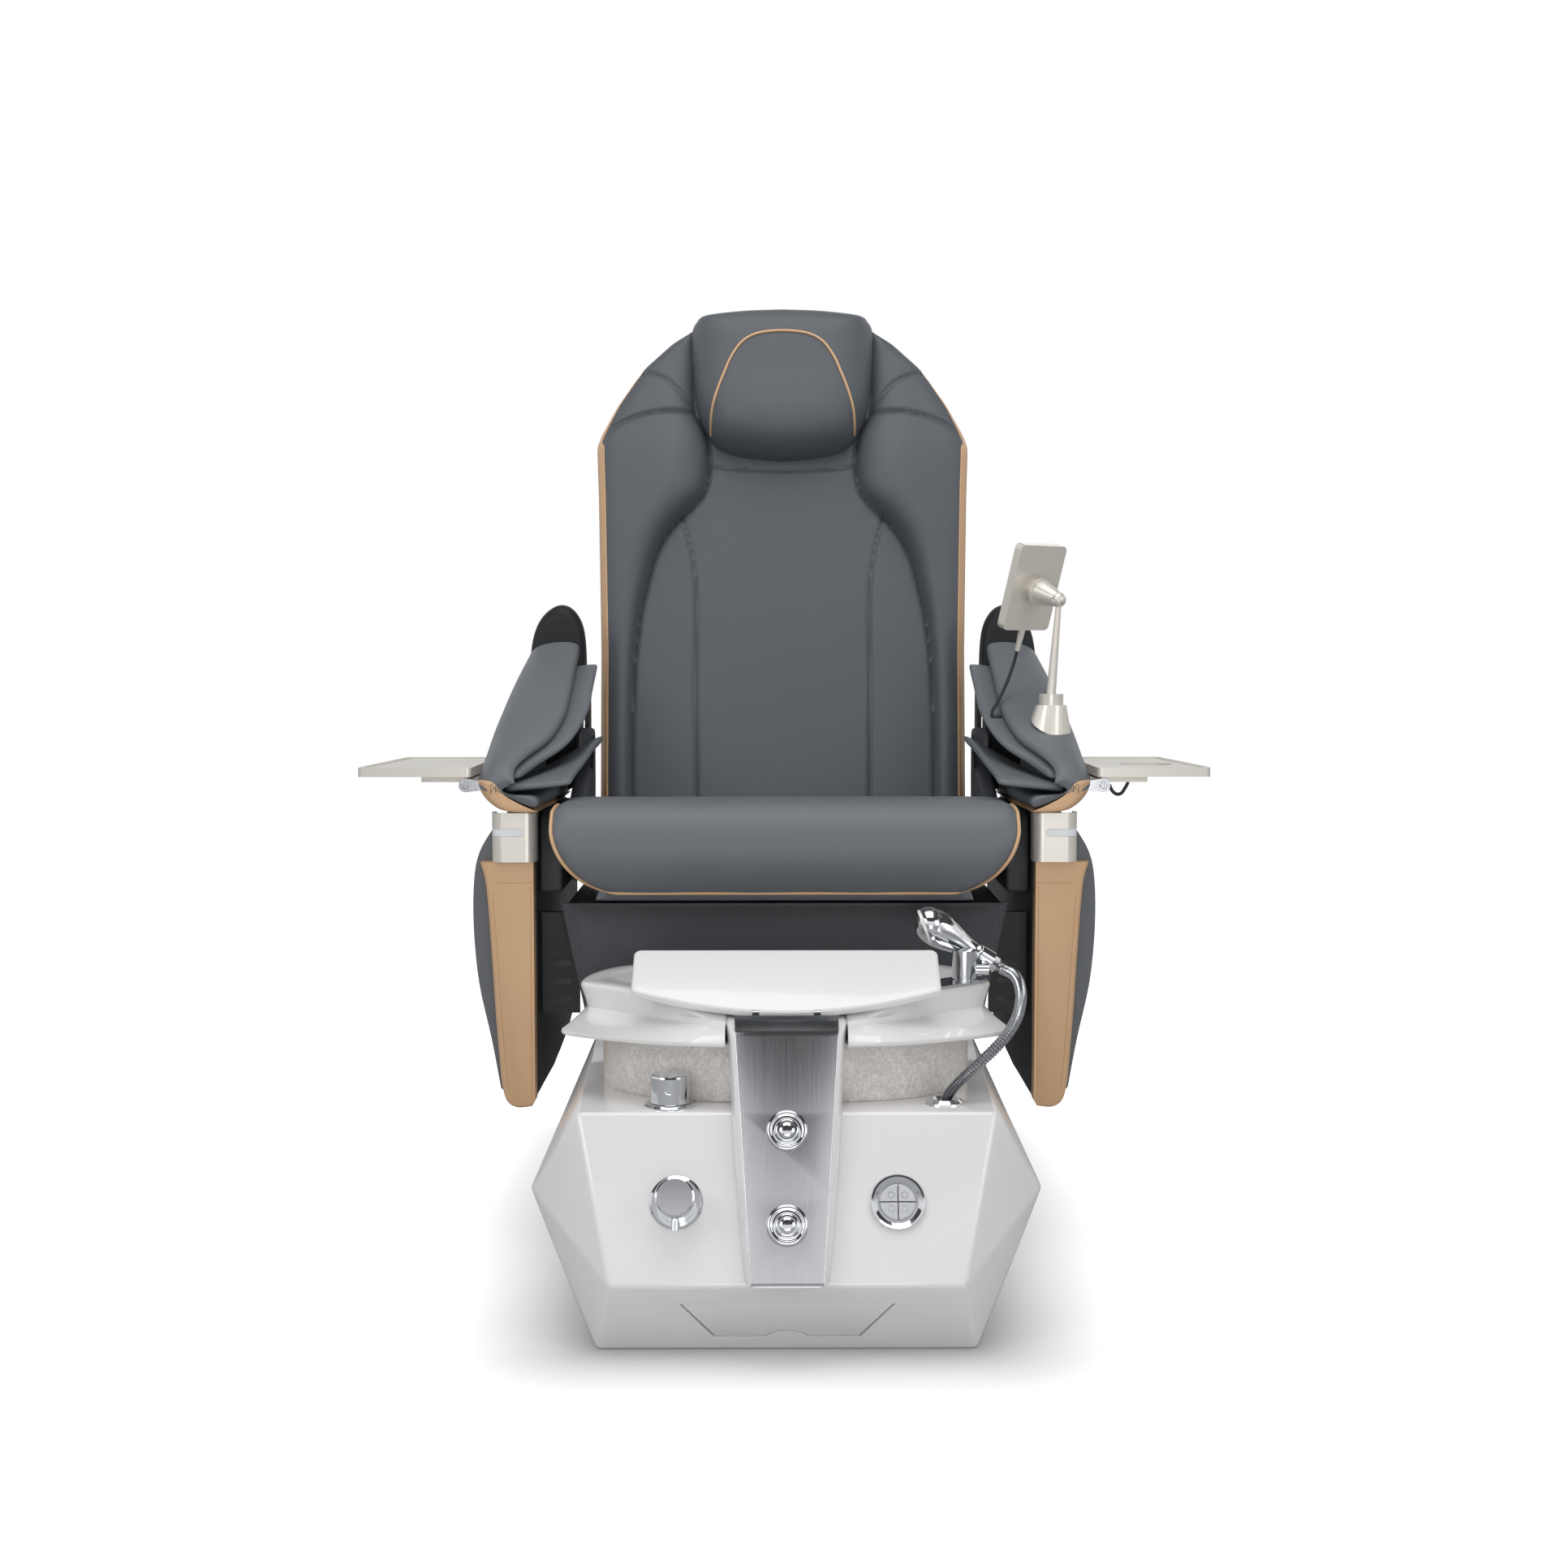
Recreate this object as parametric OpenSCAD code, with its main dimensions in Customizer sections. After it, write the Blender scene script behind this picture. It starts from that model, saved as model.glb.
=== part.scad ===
// Pedicure spa chair: a faceted foot-bath base with a powered massage chair on top.
// Origin on the floor under the middle of the base. +X is the viewer's right, +Y the rear, +Z up.

/* [Base] */
// Height of the deck above the floor
deck_h = 287; // [275:1:295]
// Distance from the origin to the front edge of the deck
deck_reach = 535; // [530:1:542]
// Half width of the deck at its front edge
deck_half = 257; // [248:1:266]
// Half width of the deck under the seat
deck_rear_half = 276; // [268:1:284]
// Half width at the widest corner of the base
hip_half = 320; // [308:1:330]
// Height of that widest corner
hip_h = 182; // [160:1:200]
// Half width of the front face at its lower edge
front_low_half = 213; // [200:1:222]
// Height of the lower edge of the front face
front_low_h = 95; // [85:1:105]
// Lean of the front face away from the vertical, in degrees
face_lean = 24; // [23:0.5:25]
// Half width of the foot on the floor
toe_half = 232; // [222:1:240]
// Distance from the origin to the front and rear of the foot
toe_reach = 562; // [550:1:570]
// Wall of the base moulding
base_wall = 5; // [4:0.5:6]
// Radius of the softened edges of the base
base_edge_r = 9; // [7:0.5:11]
// Thickness of the floor pan
pan_t = 5; // [4:0.5:7]
// Half width of the rear housing under the seat
house_half = 200; // [185:1:215]
// Height of the rear housing above the deck
house_rise = 113; // [105:1:119]
// Half width of the service panel at its top edge
panel_half = 130; // [110:1:145]
// Thickness of the service panel
panel_t = 4; // [3:0.5:5]

/* [Bowl] */
// Half width of the stone band round the bowl
band_half = 242; // [240:0.5:244]
// Half depth of the stone band, front to back
band_deep = 182; // [180:0.5:184]
// Distance from the origin to the middle of the bowl
bowl_back = 300; // [298:1:302]
// Height of the stone band
band_h = 76; // [60:1:77]
// Wall of the stone band
band_wall = 10; // [6:1:12]
// Height of the water floor inside the bowl
bowl_floor = 160; // [140:1:170]
// Thickness of the bowl floor
bowl_floor_t = 8; // [6:1:10]
// Height of the bowl's rim above the deck
rim_rise = 128; // [127:0.5:129]

/* [Column] */
// Half width of the column at its top
column_top_half = 75; // [72:1:76]
// Half width of the column at its foot
column_low_half = 52; // [50:1:56]
// How far the column stands in front of the base face
column_proud = 28; // [26:1:30]
// Height of the column's front top edge above the deck
column_rise = 97; // [95:1:98]
// Half width of the steel fascia at its top
fascia_top_half = 64; // [56:1:66]
// Half width of the steel fascia at its foot
fascia_low_half = 43.5; // [40:0.5:46]
// Thickness of the steel fascia
fascia_t = 2; // [1:0.5:3]
// Height of the lower end of the fascia
fascia_low_h = 106; // [100:1:120]

/* [Controls] */
// Outer radius of the air button bezels
bezel_r = 25; // [20:0.5:27]
// Radius of the air button caps
button_r = 14; // [10:0.5:16]
// Travel of the air buttons
button_travel = 4; // [2:0.5:5]
// Distance down the column from its top edge to the upper button
upper_button_drop = 123; // [100:1:140]
// Distance between the two buttons
button_pitch = 113.5; // [90:0.5:125]
// Sideways place of the diverter and the keypad
control_side = 134; // [125:1:145]
// Sideways place of the mixer on the deck
mixer_side = 145; // [143:1:150]
// Distance from the deck edge down the face to the diverter and keypad
control_drop = 110; // [95:1:120]
// Radius of the mixer and diverter knobs
knob_r = 24.5; // [20:0.5:26]
// Height of the mixer knob
mixer_knob_h = 36; // [30:1:44]
// Length of the diverter knob
diverter_knob_h = 40; // [32:1:48]
// Radius of the spindle that carries each knob
spindle_r = 6; // [4:0.5:8]
// Length of that spindle above its flange
spindle_len = 20; // [14:1:24]
// Radius of the flange under each knob
flange_r = 32.5; // [30:0.5:34]
// Thickness of that flange
flange_t = 4; // [3:0.5:6]
// Outer radius of the keypad bezel
keypad_r = 34; // [31:0.5:36]
// Radius of the disc that the four keys make up
keys_r = 22; // [16:0.5:23]
// Travel of a key
key_travel = 1.5; // [1:0.25:2]

/* [Footrest] */
// Half width of the footrest board
board_half = 197; // [180:1:198]
// Depth of the board at its middle
board_deep = 131; // [115:1:132]
// Thickness of the board
board_t = 12; // [9:0.5:12.5]
// Slope of the board at rest, in degrees
board_slope = 28.7; // [28.5:0.1:30]
// Radius of the footrest hinge pin
board_pin_r = 2.5; // [2:0.1:2.8]

/* [Sprayer] */
// Radius of the holder post
post_r = 16; // [12:0.5:16.5]
// Height of the holder post
post_h = 44; // [38:1:48]
// Radius of the sprayer handle
handle_r = 11; // [9:0.5:11.5]
// Length of the sprayer from its hose end to the middle of its head
handle_len = 102; // [95:1:110]
// Radius of the sprayer head
head_r = 26; // [22:0.5:28]
// Radius of the hose
hose_r = 7.5; // [6:0.5:8]
// Outer radius of the hose grommet
grommet_r = 24.5; // [22:0.5:27]

/* [Seat] */
// Half width of the front roll of the seat
roll_half = 322; // [312:1:330]
// Height of the seat above the floor
seat_h = 644; // [630:1:650]
// Thickness of the seat cushion
seat_t = 143; // [130:1:150]
// Distance from the origin to the middle of the front roll
roll_reach = 150; // [145:1:155]
// Distance that the seat slides back
seat_travel = 150; // [80:5:160]
// Half width of the seat cushion between the arms
seat_half = 290; // [270:1:292]
// Thickness of the seat pan
seat_pan_t = 4; // [3:0.5:5]
// Half width of the apron under the roll
apron_half = 300; // [285:1:310]
// Thickness of the apron
apron_t = 14; // [10:1:14.5]
// Distance of each slide rail from the middle
rail_side = 150; // [120:1:170]
// Height of a slide rail
rail_h = 30; // [26:1:32]
// Width of a slide rail
rail_w = 40; // [34:1:46]
// Wall of a slide rail
rail_wall = 3; // [2:0.5:4]

/* [Sides] */
// Distance from the middle to the inner face of a side panel
side_in = 352; // [348:1:356]
// Greatest distance from the middle to the outside of a side panel
side_out = 438; // [430:1:440]
// Height of the lowest point of a side panel
side_low = 206; // [196:1:220]
// Height of the top of a side panel
side_top = 625.6; // [622:0.2:626]
// Height of the metal bracket at the top of a side panel
bracket_h = 69; // [55:1:80]
// Thickness of that bracket
bracket_t = 5; // [4:0.5:5.5]
// Width of the light slot in the bracket
led_w = 10; // [6:0.5:14]

/* [Arms] */
// Radius of the pin that an arm lifts on
arm_pin_r = 10; // [7:0.5:11]
// Distance from the origin back to that pin
arm_pin_back = 235; // [233:1:237]
// Height of that pin
arm_pin_h = 800; // [794:1:806]
// Thickness of the steel plate that hangs on the pin
arm_plate_t = 7; // [5:0.5:7.5]
// Thickness of the two airbag flaps
flap_t = 12; // [8:1:13]

/* [Trays] */
// Width of a tray
tray_w = 161; // [140:1:170]
// Length of a tray, front to back
tray_len = 300; // [260:1:310]
// Thickness of a tray
tray_t = 13; // [10:0.5:14]
// Radius of the tray's hinge pin
tray_pin_r = 5; // [4:0.5:6]
// Radius of the round recess in the right tray
recess_r = 38; // [30:1:42]

/* [Backrest] */
// Lean of the backrest at rest, in degrees
back_lean = 16.1; // [15:0.1:17]
// Thickness of the back cushion
back_t = 105; // [95:1:106]
// Height of the backrest along its slope
back_len = 885; // [860:1:890]
// Half width of the backrest at the shoulders
shoulder_half = 303; // [296:1:303]
// Half width of the head pillow
pillow_half = 150; // [140:1:152]
// Height of the head pillow
pillow_len = 262; // [240:1:262]
// Depth of the head pillow
pillow_t = 82; // [60:1:95]
// Radius of the recline pins
recline_pin_r = 8; // [6:0.5:9]
// Distance that the massage carriage climbs
massage_travel = 300; // [200:5:360]

/* [Remote] */
// Width of the remote
remote_w = 92; // [80:1:96]
// Height of the remote
remote_len = 128; // [110:1:130]
// Thickness of the remote
remote_t = 14; // [11:0.5:16]
// Height of the mast above its foot
mast_h = 136; // [120:1:150]
// Radius of the remote cable
cable_r = 2.4; // [2:0.1:2.6]

/* [Clearances] */
// Gap left round soft parts
soft_gap = 0.4; // [0.3:0.1:0.6]
// Radial clearance of a running fit
run_gap = 0.05; // [0.03:0.01:0.1]
// Gap between hard parts that are fitted together
fit_gap = 0.3; // [0.2:0.1:0.5]

/* [Hidden] */

// Heights above the floor that follow the deck
house_h = deck_h + house_rise;
rim_h = deck_h + rim_rise;
column_h = deck_h + column_rise;

// Colours
white = "#e9e7e6";
stone = "#cbc6bf";
chrome = "#b9bcc1";
steel = "#7d7f86";
black = "#27282b";
grey = "#5f6469";
dark_grey = "#3b3e42";
bronze = "#b98b62";
champagne = "#c2b59c";

// ---------------------------------------------------------------- shared forms

function sgn_pow(v, e) = sign(v) * pow(abs(v), e);

// A superellipse in plan, anticlockwise seen from above.
function oval(w, d, n, steps, cx = 0, cy = 0) =
    [for (i = [0:steps - 1]) let (a = 360 * i / steps)
        [cx + w * sgn_pow(cos(a), 2 / n), cy + d * sgn_pow(sin(a), 2 / n)]];

function middle(ring) = [for (k = [0:2]) let (s = [for (p = ring) p[k]]) s * [for (p = ring)
    1] / len(ring)];

// A solid through a list of rings. Rings run anticlockwise seen from the last ring.
// fan closes the ends on a middle point, for rings that curve; otherwise the ends are flat faces.
// other splits each side patch along its other diagonal, so that two lofts can share a seam.
module loft(rings, fan = true, other = false) {
    n = len(rings[0]);
    m = len(rings);
    points = concat([for (r = rings) each r], [middle(rings[0]), middle(rings[m - 1])]);
    sides = [for (k = [0:m - 2], i = [0:n - 1]) let (a = k * n + i, b = k * n + (i + 1) % n)
        each other ? [[a, a + n, b], [b, a + n, b + n]] : [[a, a + n, b + n], [a, b + n, b]]];
    caps = fan
        ? [for (i = [0:n - 1]) let (j = (i + 1) % n, t = (m - 1) * n) each [[i, j, m * n], [t + j, t + i,
            m * n + 1]]]
        : [[for (i = [0:n - 1]) i], [for (i = [n - 1:-1:0]) (m - 1) * n + i]];
    polyhedron(points = points, faces = concat(sides, caps));
}

// A smooth curve through control points of any dimension.
function spline_point(p, i, t) =
    let (n = len(p) - 1, a = p[max(i - 1, 0)], b = p[i], c = p[min(i + 1, n)], d = p[min(i + 2, n)])
    0.5 * ((2 * b) + (c - a) * t + (2 * a - 5 * b + 4 * c - d) * t * t + (3 * b - a - 3 * c + d)
        * t * t * t);
function spline(p, steps) =
    concat([for (i = [0:len(p) - 2], k = [0:steps - 1]) spline_point(p, i, k / steps)], [p[len(p) - 1]]);

// A tube along a route: ring k is square to the route there.
function unit(v) = v / norm(v);
function heading(p, k) = unit(p[min(k + 1, len(p) - 1)] - p[max(k - 1, 0)]);
function across(h) = unit(cross(h, abs(h[1]) < 0.9 ? [0, 1, 0] : [1, 0, 0]));
function ring_on(p, k, r, sides) =
    let (h = heading(p, k), u = across(h), v = cross(h, u))
    [for (i = [0:sides - 1]) let (a = 360 * i / sides) p[k] + r * (u * cos(a) + v * sin(a))];
module tube(route, r, sides) {
    loft([for (k = [0:len(route) - 1]) ring_on(route, k, r, sides)]);
}

// A cushion: ovals of falling size above and below its waist. sizes are half sizes.
module pad(half_w, half_d, bottom, top, n = 4, crown = 0.45, steps = 36, cx = 0, cy = 0, shrink = 0.9) {
    h = top - bottom;
    rings = [for (t = [0, 0.08, 0.2, 0.4, 0.6, 0.75, 0.87, 0.95, 1])
        let (k = t < 0.4 ? shrink + (1 - shrink) * sin(90 * t / 0.4) : 1 - (1 - crown) * pow((t - 0.4)
            / 0.6, 4))
        [for (q = oval(half_w * min(k + 0.0, 1), half_d * min(k, 1), n, steps, cx, cy)) [q[0], q[1],
            bottom + h * t]]];
    loft(rings);
}

// The right-hand side as drawn, or its mirror image on the left.
module on_side(s) {
    mirror([s < 0 ? 1 : 0, 0, 0]) children();
}

module both_sides() {
    for (s = [-1, 1]) on_side(s) children();
}

module ring(outer, inner, h) {
    difference() {
        cylinder(r = outer, h = h, $fn = 64);
        translate([0, 0, -1]) cylinder(r = inner, h = h + 2, $fn = 64);
    }
}

// ---------------------------------------------------------------- base

// Front face of the base: y on it at height z.
function face_y(z) = -deck_reach - (deck_h - z) * tan(face_lean);
front_low_y = face_y(front_low_h);
hip_y = -490;
rear_y = toe_reach;

// Corners of the faceted base body, as [x, y, z] for the right side.
base_corners = [
    [deck_half, -deck_reach, deck_h], [deck_rear_half, -60, deck_h], [deck_rear_half, rear_y - 30, deck_h],
    [front_low_half, front_low_y, front_low_h], [hip_half, hip_y, hip_h], [hip_half - 6, rear_y - 60,
        hip_h],
    [toe_half, -toe_reach, 0], [toe_half + 8, -toe_reach + 30, 0], [toe_half, rear_y, 0],
    [deck_rear_half - 10, rear_y + 20, hip_h]];

module base_body(r) {
    e = base_edge_r;
    hull() for (s = [-1, 1], p = base_corners)
        translate([s * (p[0] - e), p[1] + (p[1] < 0 ? e : -e), p[2] < 1 ? e : p[2] - e]) sphere(r = r,
            $fn = 16);
}

module rear_housing(r) {
    e = base_edge_r;
    hull() for (x = [-1, 1], y = [-95 + e, rear_y - 20 - e], z = [deck_h - 60, house_h - e])
        translate([x * (house_half - e), y, z]) sphere(r = r, $fn = 16);
}

module base_outline(inset) {
    polygon([[-toe_half + inset, -toe_reach + inset], [toe_half - inset, -toe_reach + inset],
        [toe_half + 8 - inset, -toe_reach + 30], [toe_half - inset, rear_y - inset],
        [-toe_half + inset, rear_y - inset], [-toe_half - 8 + inset, -toe_reach + 30]]);
}

foot_in = base_edge_r + 3;
module floor_pan() {
    color(black) linear_extrude(pan_t) base_outline(foot_in);
}

// Opening of the service panel in the toe: a trapezoid with a finger arch, in the toe's own plane.
toe_angle = atan((toe_reach + front_low_y) / -front_low_h);
module toe_plane() {
    translate([0, -toe_reach, 0]) rotate([90 + toe_angle, 0, 0]) children();
}
module panel_shape(gap) {
    offset(r = -gap) difference() {
        polygon([[-panel_half + 41, 22], [panel_half - 41, 22], [panel_half, 82], [-panel_half, 82]]);
        translate([0, 4]) circle(r = 32, $fn = 48);
    }
}

module access_panel() {
    color(white) toe_plane() translate([0, 0, -panel_t - 0.5]) linear_extrude(panel_t) panel_shape(fit_gap);
}

bowl_y = -bowl_back;
hole_half = band_half - band_wall - 4;
hole_deep = band_deep - band_wall - 4;

module base_shell() {
    color(white) difference() {
        union() {
            base_body(base_edge_r);
            rear_housing(base_edge_r);
        }
        base_body(base_edge_r - base_wall);
        rear_housing(base_edge_r - base_wall);
        translate([0, 0, -1]) linear_extrude(15) base_outline(foot_in - fit_gap);
        translate([0, 0, deck_h - 30]) linear_extrude(60) polygon(oval(hole_half, hole_deep, 2.5, 64, 0,
            bowl_y));
        toe_plane() translate([0, 0, -20]) linear_extrude(40) panel_shape(0);
        translate([-column_top_half - 0.5, -460, deck_h - 40]) cube([2 * column_top_half + 1, 60, 60]);
        column_block(column_fit);
        translate([-mixer_side, mixer_y, deck_h - 40]) cylinder(r = 16, h = 60, $fn = 48);
        translate([grommet_x, grommet_y, deck_h - 40]) cylinder(r = grommet_hole_r + fit_gap, h = 60,
            $fn = 48);
        for (x = [-control_side, control_side])
            on_face(x, -control_drop, 0) translate([0, 0, -20]) cylinder(r = x < 0 ? 16 : keys_r + 5,
                h = 30, $fn = 48);
    }
}

// Stone band round the bowl: an oval wall with a gap where the column passes.
module bowl_band() {
    color(stone) translate([0, 0, deck_h]) linear_extrude(band_h - fit_gap) difference() {
        polygon(oval(band_half, band_deep, 2.5, 72, 0, bowl_y));
        polygon(oval(band_half - band_wall, band_deep - band_wall, 2.5, 72, 0, bowl_y));
        translate([-column_top_half - 0.6, bowl_y - band_deep - 10]) square([2 * column_top_half + 1.2,
            80]);
    }
}

// ---------------------------------------------------------------- tub

// Right half of the tub in plan, from the front middle to the rear middle. The front flares out into a wing.
column_rear_y = -424;
notch_y = column_rear_y + 2;
wing_low = [[79, -511], [150, -499], [222, -468], [272, -436], [288, -414], [281, -390], [252, -330],
    [238, -270], [215, -200], [150, -160], [0, -148]];
wing_top = [[79, -492], [137, -448], [182, -405], [221, -365], [250, -345], [262, -325], [262, -300],
    [252, -255], [222, -185], [150, -145], [0, -132]];
rim_out = [[79, -484], [135, -444], [185, -398], [225, -362], [258, -336], [270, -318], [272, -295],
    [262, -240], [228, -178], [150, -140], [0, -126]];
rim_in = [[84, -434], [112, -408], [155, -366], [190, -335], [216, -308], [228, -290], [230, -270],
    [222, -232], [192, -190], [130, -166], [0, -156]];

function behind_column(y) = [[0, y], [column_top_half + 4, y]];
function half_curve(front, curve) = concat(front, spline(curve, 2));
function whole(half) = concat(half, [for (i = [len(half) - 2:-1:1]) [-half[i][0], half[i][1]]]);
function toward_bowl(curve, k) = [for (p = curve) [p[0] * k, bowl_y + 15 + (p[1] - bowl_y - 15) * k]];
function at_height(curve, z) = [for (p = curve) [p[0], p[1], z]];

// The rim is level, but dips under the front of the footrest.
function rim_z(y) = max(wing_h + 24, min(rim_h, board_under(y) - 5));
function on_rim(curve, k, drop) = [for (p = toward_bowl(curve, k)) [p[0], p[1], rim_z(p[1]) - drop]];

tub_low = whole(half_curve(behind_column(notch_y), wing_low));
tub_wing = whole(half_curve(behind_column(notch_y), wing_top));
tub_rim = whole(half_curve(behind_column(notch_y), rim_out));
tub_in = whole(half_curve(behind_column(notch_y + 18), rim_in));
wing_h = deck_h + band_h;

module tub_solid() {
    rings = [
        at_height(toward_bowl(tub_in, 0.6), bowl_floor - bowl_floor_t),
        at_height(toward_bowl(tub_in, 0.76), bowl_floor),
        at_height(toward_bowl(tub_in, 0.95), wing_h),
        at_height(toward_bowl(tub_low, 0.975), wing_h + 2),
        at_height(tub_low, wing_h),
        at_height(tub_wing, wing_h + 20),
        on_rim(tub_rim, 1, 4),
        on_rim(tub_rim, 0.97, 0),
        on_rim(tub_in, 1.02, 0),
        on_rim(tub_in, 1, 7),
        at_height(toward_bowl(tub_in, 0.9), rim_h - 60),
        at_height(toward_bowl(tub_in, 0.7), bowl_floor + 10),
        at_height(toward_bowl(tub_in, 0.6), bowl_floor)];
    loft(rings);
}

jet_x = 62;
drain_x = -62;
jet_y = bowl_y + 15;
motor_r = 34;
shaft_r = 4;

module tub() {
    color(white) difference() {
        tub_solid();
        translate([jet_x, jet_y, bowl_floor - 30]) cylinder(r = 14, h = 60, $fn = 48);
        translate([drain_x, jet_y, bowl_floor - 30]) cylinder(r = 20, h = 60, $fn = 48);
    }
}

module drain_strainer() {
    color(chrome) translate([drain_x, jet_y, 0]) difference() {
        union() {
            translate([0, 0, bowl_floor + fit_gap]) cylinder(r = 28, h = 3, $fn = 64);
            translate([0, 0, bowl_floor - 24]) cylinder(r = 20 - fit_gap, h = 24 + fit_gap, $fn = 64);
        }
        translate([0, 0, bowl_floor - 30]) cylinder(r = 16, h = 29, $fn = 48);
        for (i = [0:7]) rotate([0, 0, 45 * i]) translate([11, 0, bowl_floor - 5]) cylinder(r = 2.5,
            h = 12, $fn = 16);
    }
}

module jet_motor() {
    color(black) translate([jet_x, jet_y, bowl_floor - bowl_floor_t - fit_gap]) difference() {
        union() {
            translate([0, 0, -52]) cylinder(r = motor_r, h = 52, $fn = 64);
            translate([0, 0, -0.1]) cylinder(r = 14 - fit_gap, h = bowl_floor_t + fit_gap + 1, $fn = 48);
        }
        translate([0, 0, -30]) cylinder(r = shaft_r + run_gap, h = 60, $fn = 48);
    }
}

module jet_impeller() {
    color(steel) translate([jet_x, jet_y, bowl_floor]) union() {
        translate([0, 0, -34]) cylinder(r = shaft_r, h = 42, $fn = 48);
        translate([0, 0, 4]) cylinder(r = 10, h = 6, $fn = 48);
        for (i = [0:5]) rotate([0, 0, 60 * i]) translate([7, -1.5, 4]) cube([17, 3, 9]);
    }
}

module jet_cover() {
    color(white) translate([jet_x, jet_y, bowl_floor + fit_gap]) difference() {
        cylinder(r = 36, h = 20, $fn = 64);
        translate([0, 0, -1]) cylinder(r = 32, h = 18, $fn = 64);
        for (i = [0:11]) rotate([0, 0, 30 * i]) {
            translate([12, -2, 10]) cube([14, 4, 20]);
            translate([25, -3, 4]) cube([20, 6, 8]);
        }
    }
}

module drain_pump() {
    color(black) translate([0, 120, pan_t]) union() {
        translate([-60, -45, 0]) cube([120, 90, 12]);
        translate([-50, 0, 52]) rotate([0, 90, 0]) cylinder(r = 40, h = 100, $fn = 64);
        translate([-78, 0, 52]) rotate([0, 90, 0]) cylinder(r = 30, h = 30, $fn = 64);
        translate([-64, 0, 52]) cylinder(r = 11, h = 62, $fn = 48);
    }
}

// ---------------------------------------------------------------- column and its fittings

column_fit = 0.5;
top_slope = 10;
column_front_y = -deck_reach + (column_h - deck_h) * tan(face_lean) - column_proud;
column_top_rear = column_h + (column_rear_y - column_front_y) * tan(top_slope);
column_foot_h = front_low_h + 6;

function column_y(z) = column_front_y - (column_h - z) * tan(face_lean);

// One level of the column: narrow front, flared cheeks, straight back.
function column_ring(z, half, back, g) =
    [[-half - g, back, z], [-half * 0.85 - g, column_y(z) - g, z],
     [half * 0.85 + g, column_y(z) - g, z], [half + g, back, z]];

module column_block(g) {
    hull() {
        for (p = column_ring(column_h, column_top_half, column_rear_y + g, g)) translate(p) cube(0.01,
            center = true);
        for (p = column_ring(column_foot_h - g, column_low_half, face_y(column_foot_h) + 16, g))
            translate(p) cube(0.01, center = true);
        for (x = [-1, 1]) translate([x * (column_top_half + g), column_rear_y + g, column_top_rear])
            cube(0.01, center = true);
        for (x = [-1, 1]) translate([x * (column_top_half + g), column_rear_y + g, deck_h - 30])
            cube(0.01, center = true);
    }
}

// Places children on the column's front plane: x across, y up the slope, z out of the face.
module on_column(v, out) {
    translate([0, column_front_y, column_h]) rotate([90 - face_lean, 0, 0]) translate([0, v, out])
        children();
}

// The same for the base's front face, counted from the deck edge.
module on_face(x, v, out) {
    translate([x, -deck_reach, deck_h]) rotate([90 - face_lean, 0, 0]) translate([0, v, out]) children();
}

upper_v = -upper_button_drop;
lower_v = upper_v - button_pitch;
cup_r = button_r + 3;

module column() {
    color(white) difference() {
        column_block(0);
        for (v = [upper_v, lower_v]) on_column(v, -14) cylinder(r = cup_r + fit_gap, h = 20, $fn = 64);
    }
}

fascia_len = (column_h - fascia_low_h) / cos(face_lean);
module fascia() {
    color(steel) union() {
        on_column(0, 0.05) difference() {
            linear_extrude(fascia_t) polygon([[-fascia_low_half, -fascia_len], [fascia_low_half,
                -fascia_len],
                [fascia_top_half, 0.8], [-fascia_top_half, 0.8]]);
            for (v = [upper_v, lower_v]) translate([0, v, -1]) cylinder(r = cup_r + fit_gap,
                h = fascia_t + 2, $fn = 64);
        }
        translate([0, column_front_y, column_h]) rotate([top_slope, 0, 0]) translate([0, -0.6, 0.05])
            linear_extrude(fascia_t) polygon([[-fascia_top_half, 0], [fascia_top_half, 0],
                [fascia_top_half - 2, 30], [-fascia_top_half + 2, 30]]);
    }
}

module button_bezels() {
    color(chrome) for (v = [upper_v, lower_v]) on_column(v, 0.05) {
        translate([0, 0, fascia_t]) rotate_extrude($fn = 96) difference() {
            union() {
                translate([button_r + run_gap * 2, 0]) square([bezel_r - button_r - 5, 4.5]);
                translate([bezel_r - 4, 0]) intersection() {
                    circle(r = 4, $fn = 48);
                    square(10);
                }
                translate([button_r + run_gap * 2, 0]) square([bezel_r - button_r - 4, 4]);
            }
            translate([bezel_r - 5.5, 5.2]) circle(r = 1.6, $fn = 24);
        }
        translate([0, 0, -12]) difference() {
            cylinder(r = cup_r, h = 12 + fascia_t, $fn = 64);
            translate([0, 0, 2]) cylinder(r = button_r + run_gap * 2, h = 20, $fn = 64);
        }
    }
}

module air_button(v) {
    color(chrome) on_column(v, fascia_t + 0.05) difference() {
        union() {
            translate([0, 0, -5.5]) cylinder(r = button_r, h = 9, $fn = 64);
            translate([0, 0, 3.4]) cylinder(r1 = button_r, r2 = button_r - 2.5, h = 1.8, $fn = 64);
        }
        translate([0, 0, 4.6]) ring(button_r - 4, button_r - 5, 2);
    }
}

module drain_button() { air_button(upper_v); }
module jet_button() { air_button(lower_v); }

mixer_y = -deck_reach + 39;
module knob_flange() {
    union() {
        rotate_extrude($fn = 96) polygon([[0, 0], [flange_r, 0], [flange_r, flange_t - 2], [flange_r - 3,
            flange_t],
            [knob_r + 0.5, flange_t], [0, flange_t]]);
        translate([0, 0, -14]) cylinder(r = 15, h = 14.1, $fn = 64);
        cylinder(r = spindle_r, h = flange_t + spindle_len, $fn = 48);
    }
}

module valve_flanges() {
    color(chrome) {
        translate([-mixer_side, mixer_y, deck_h]) knob_flange();
        on_face(-control_side, -control_drop, 0) knob_flange();
    }
}

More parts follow.
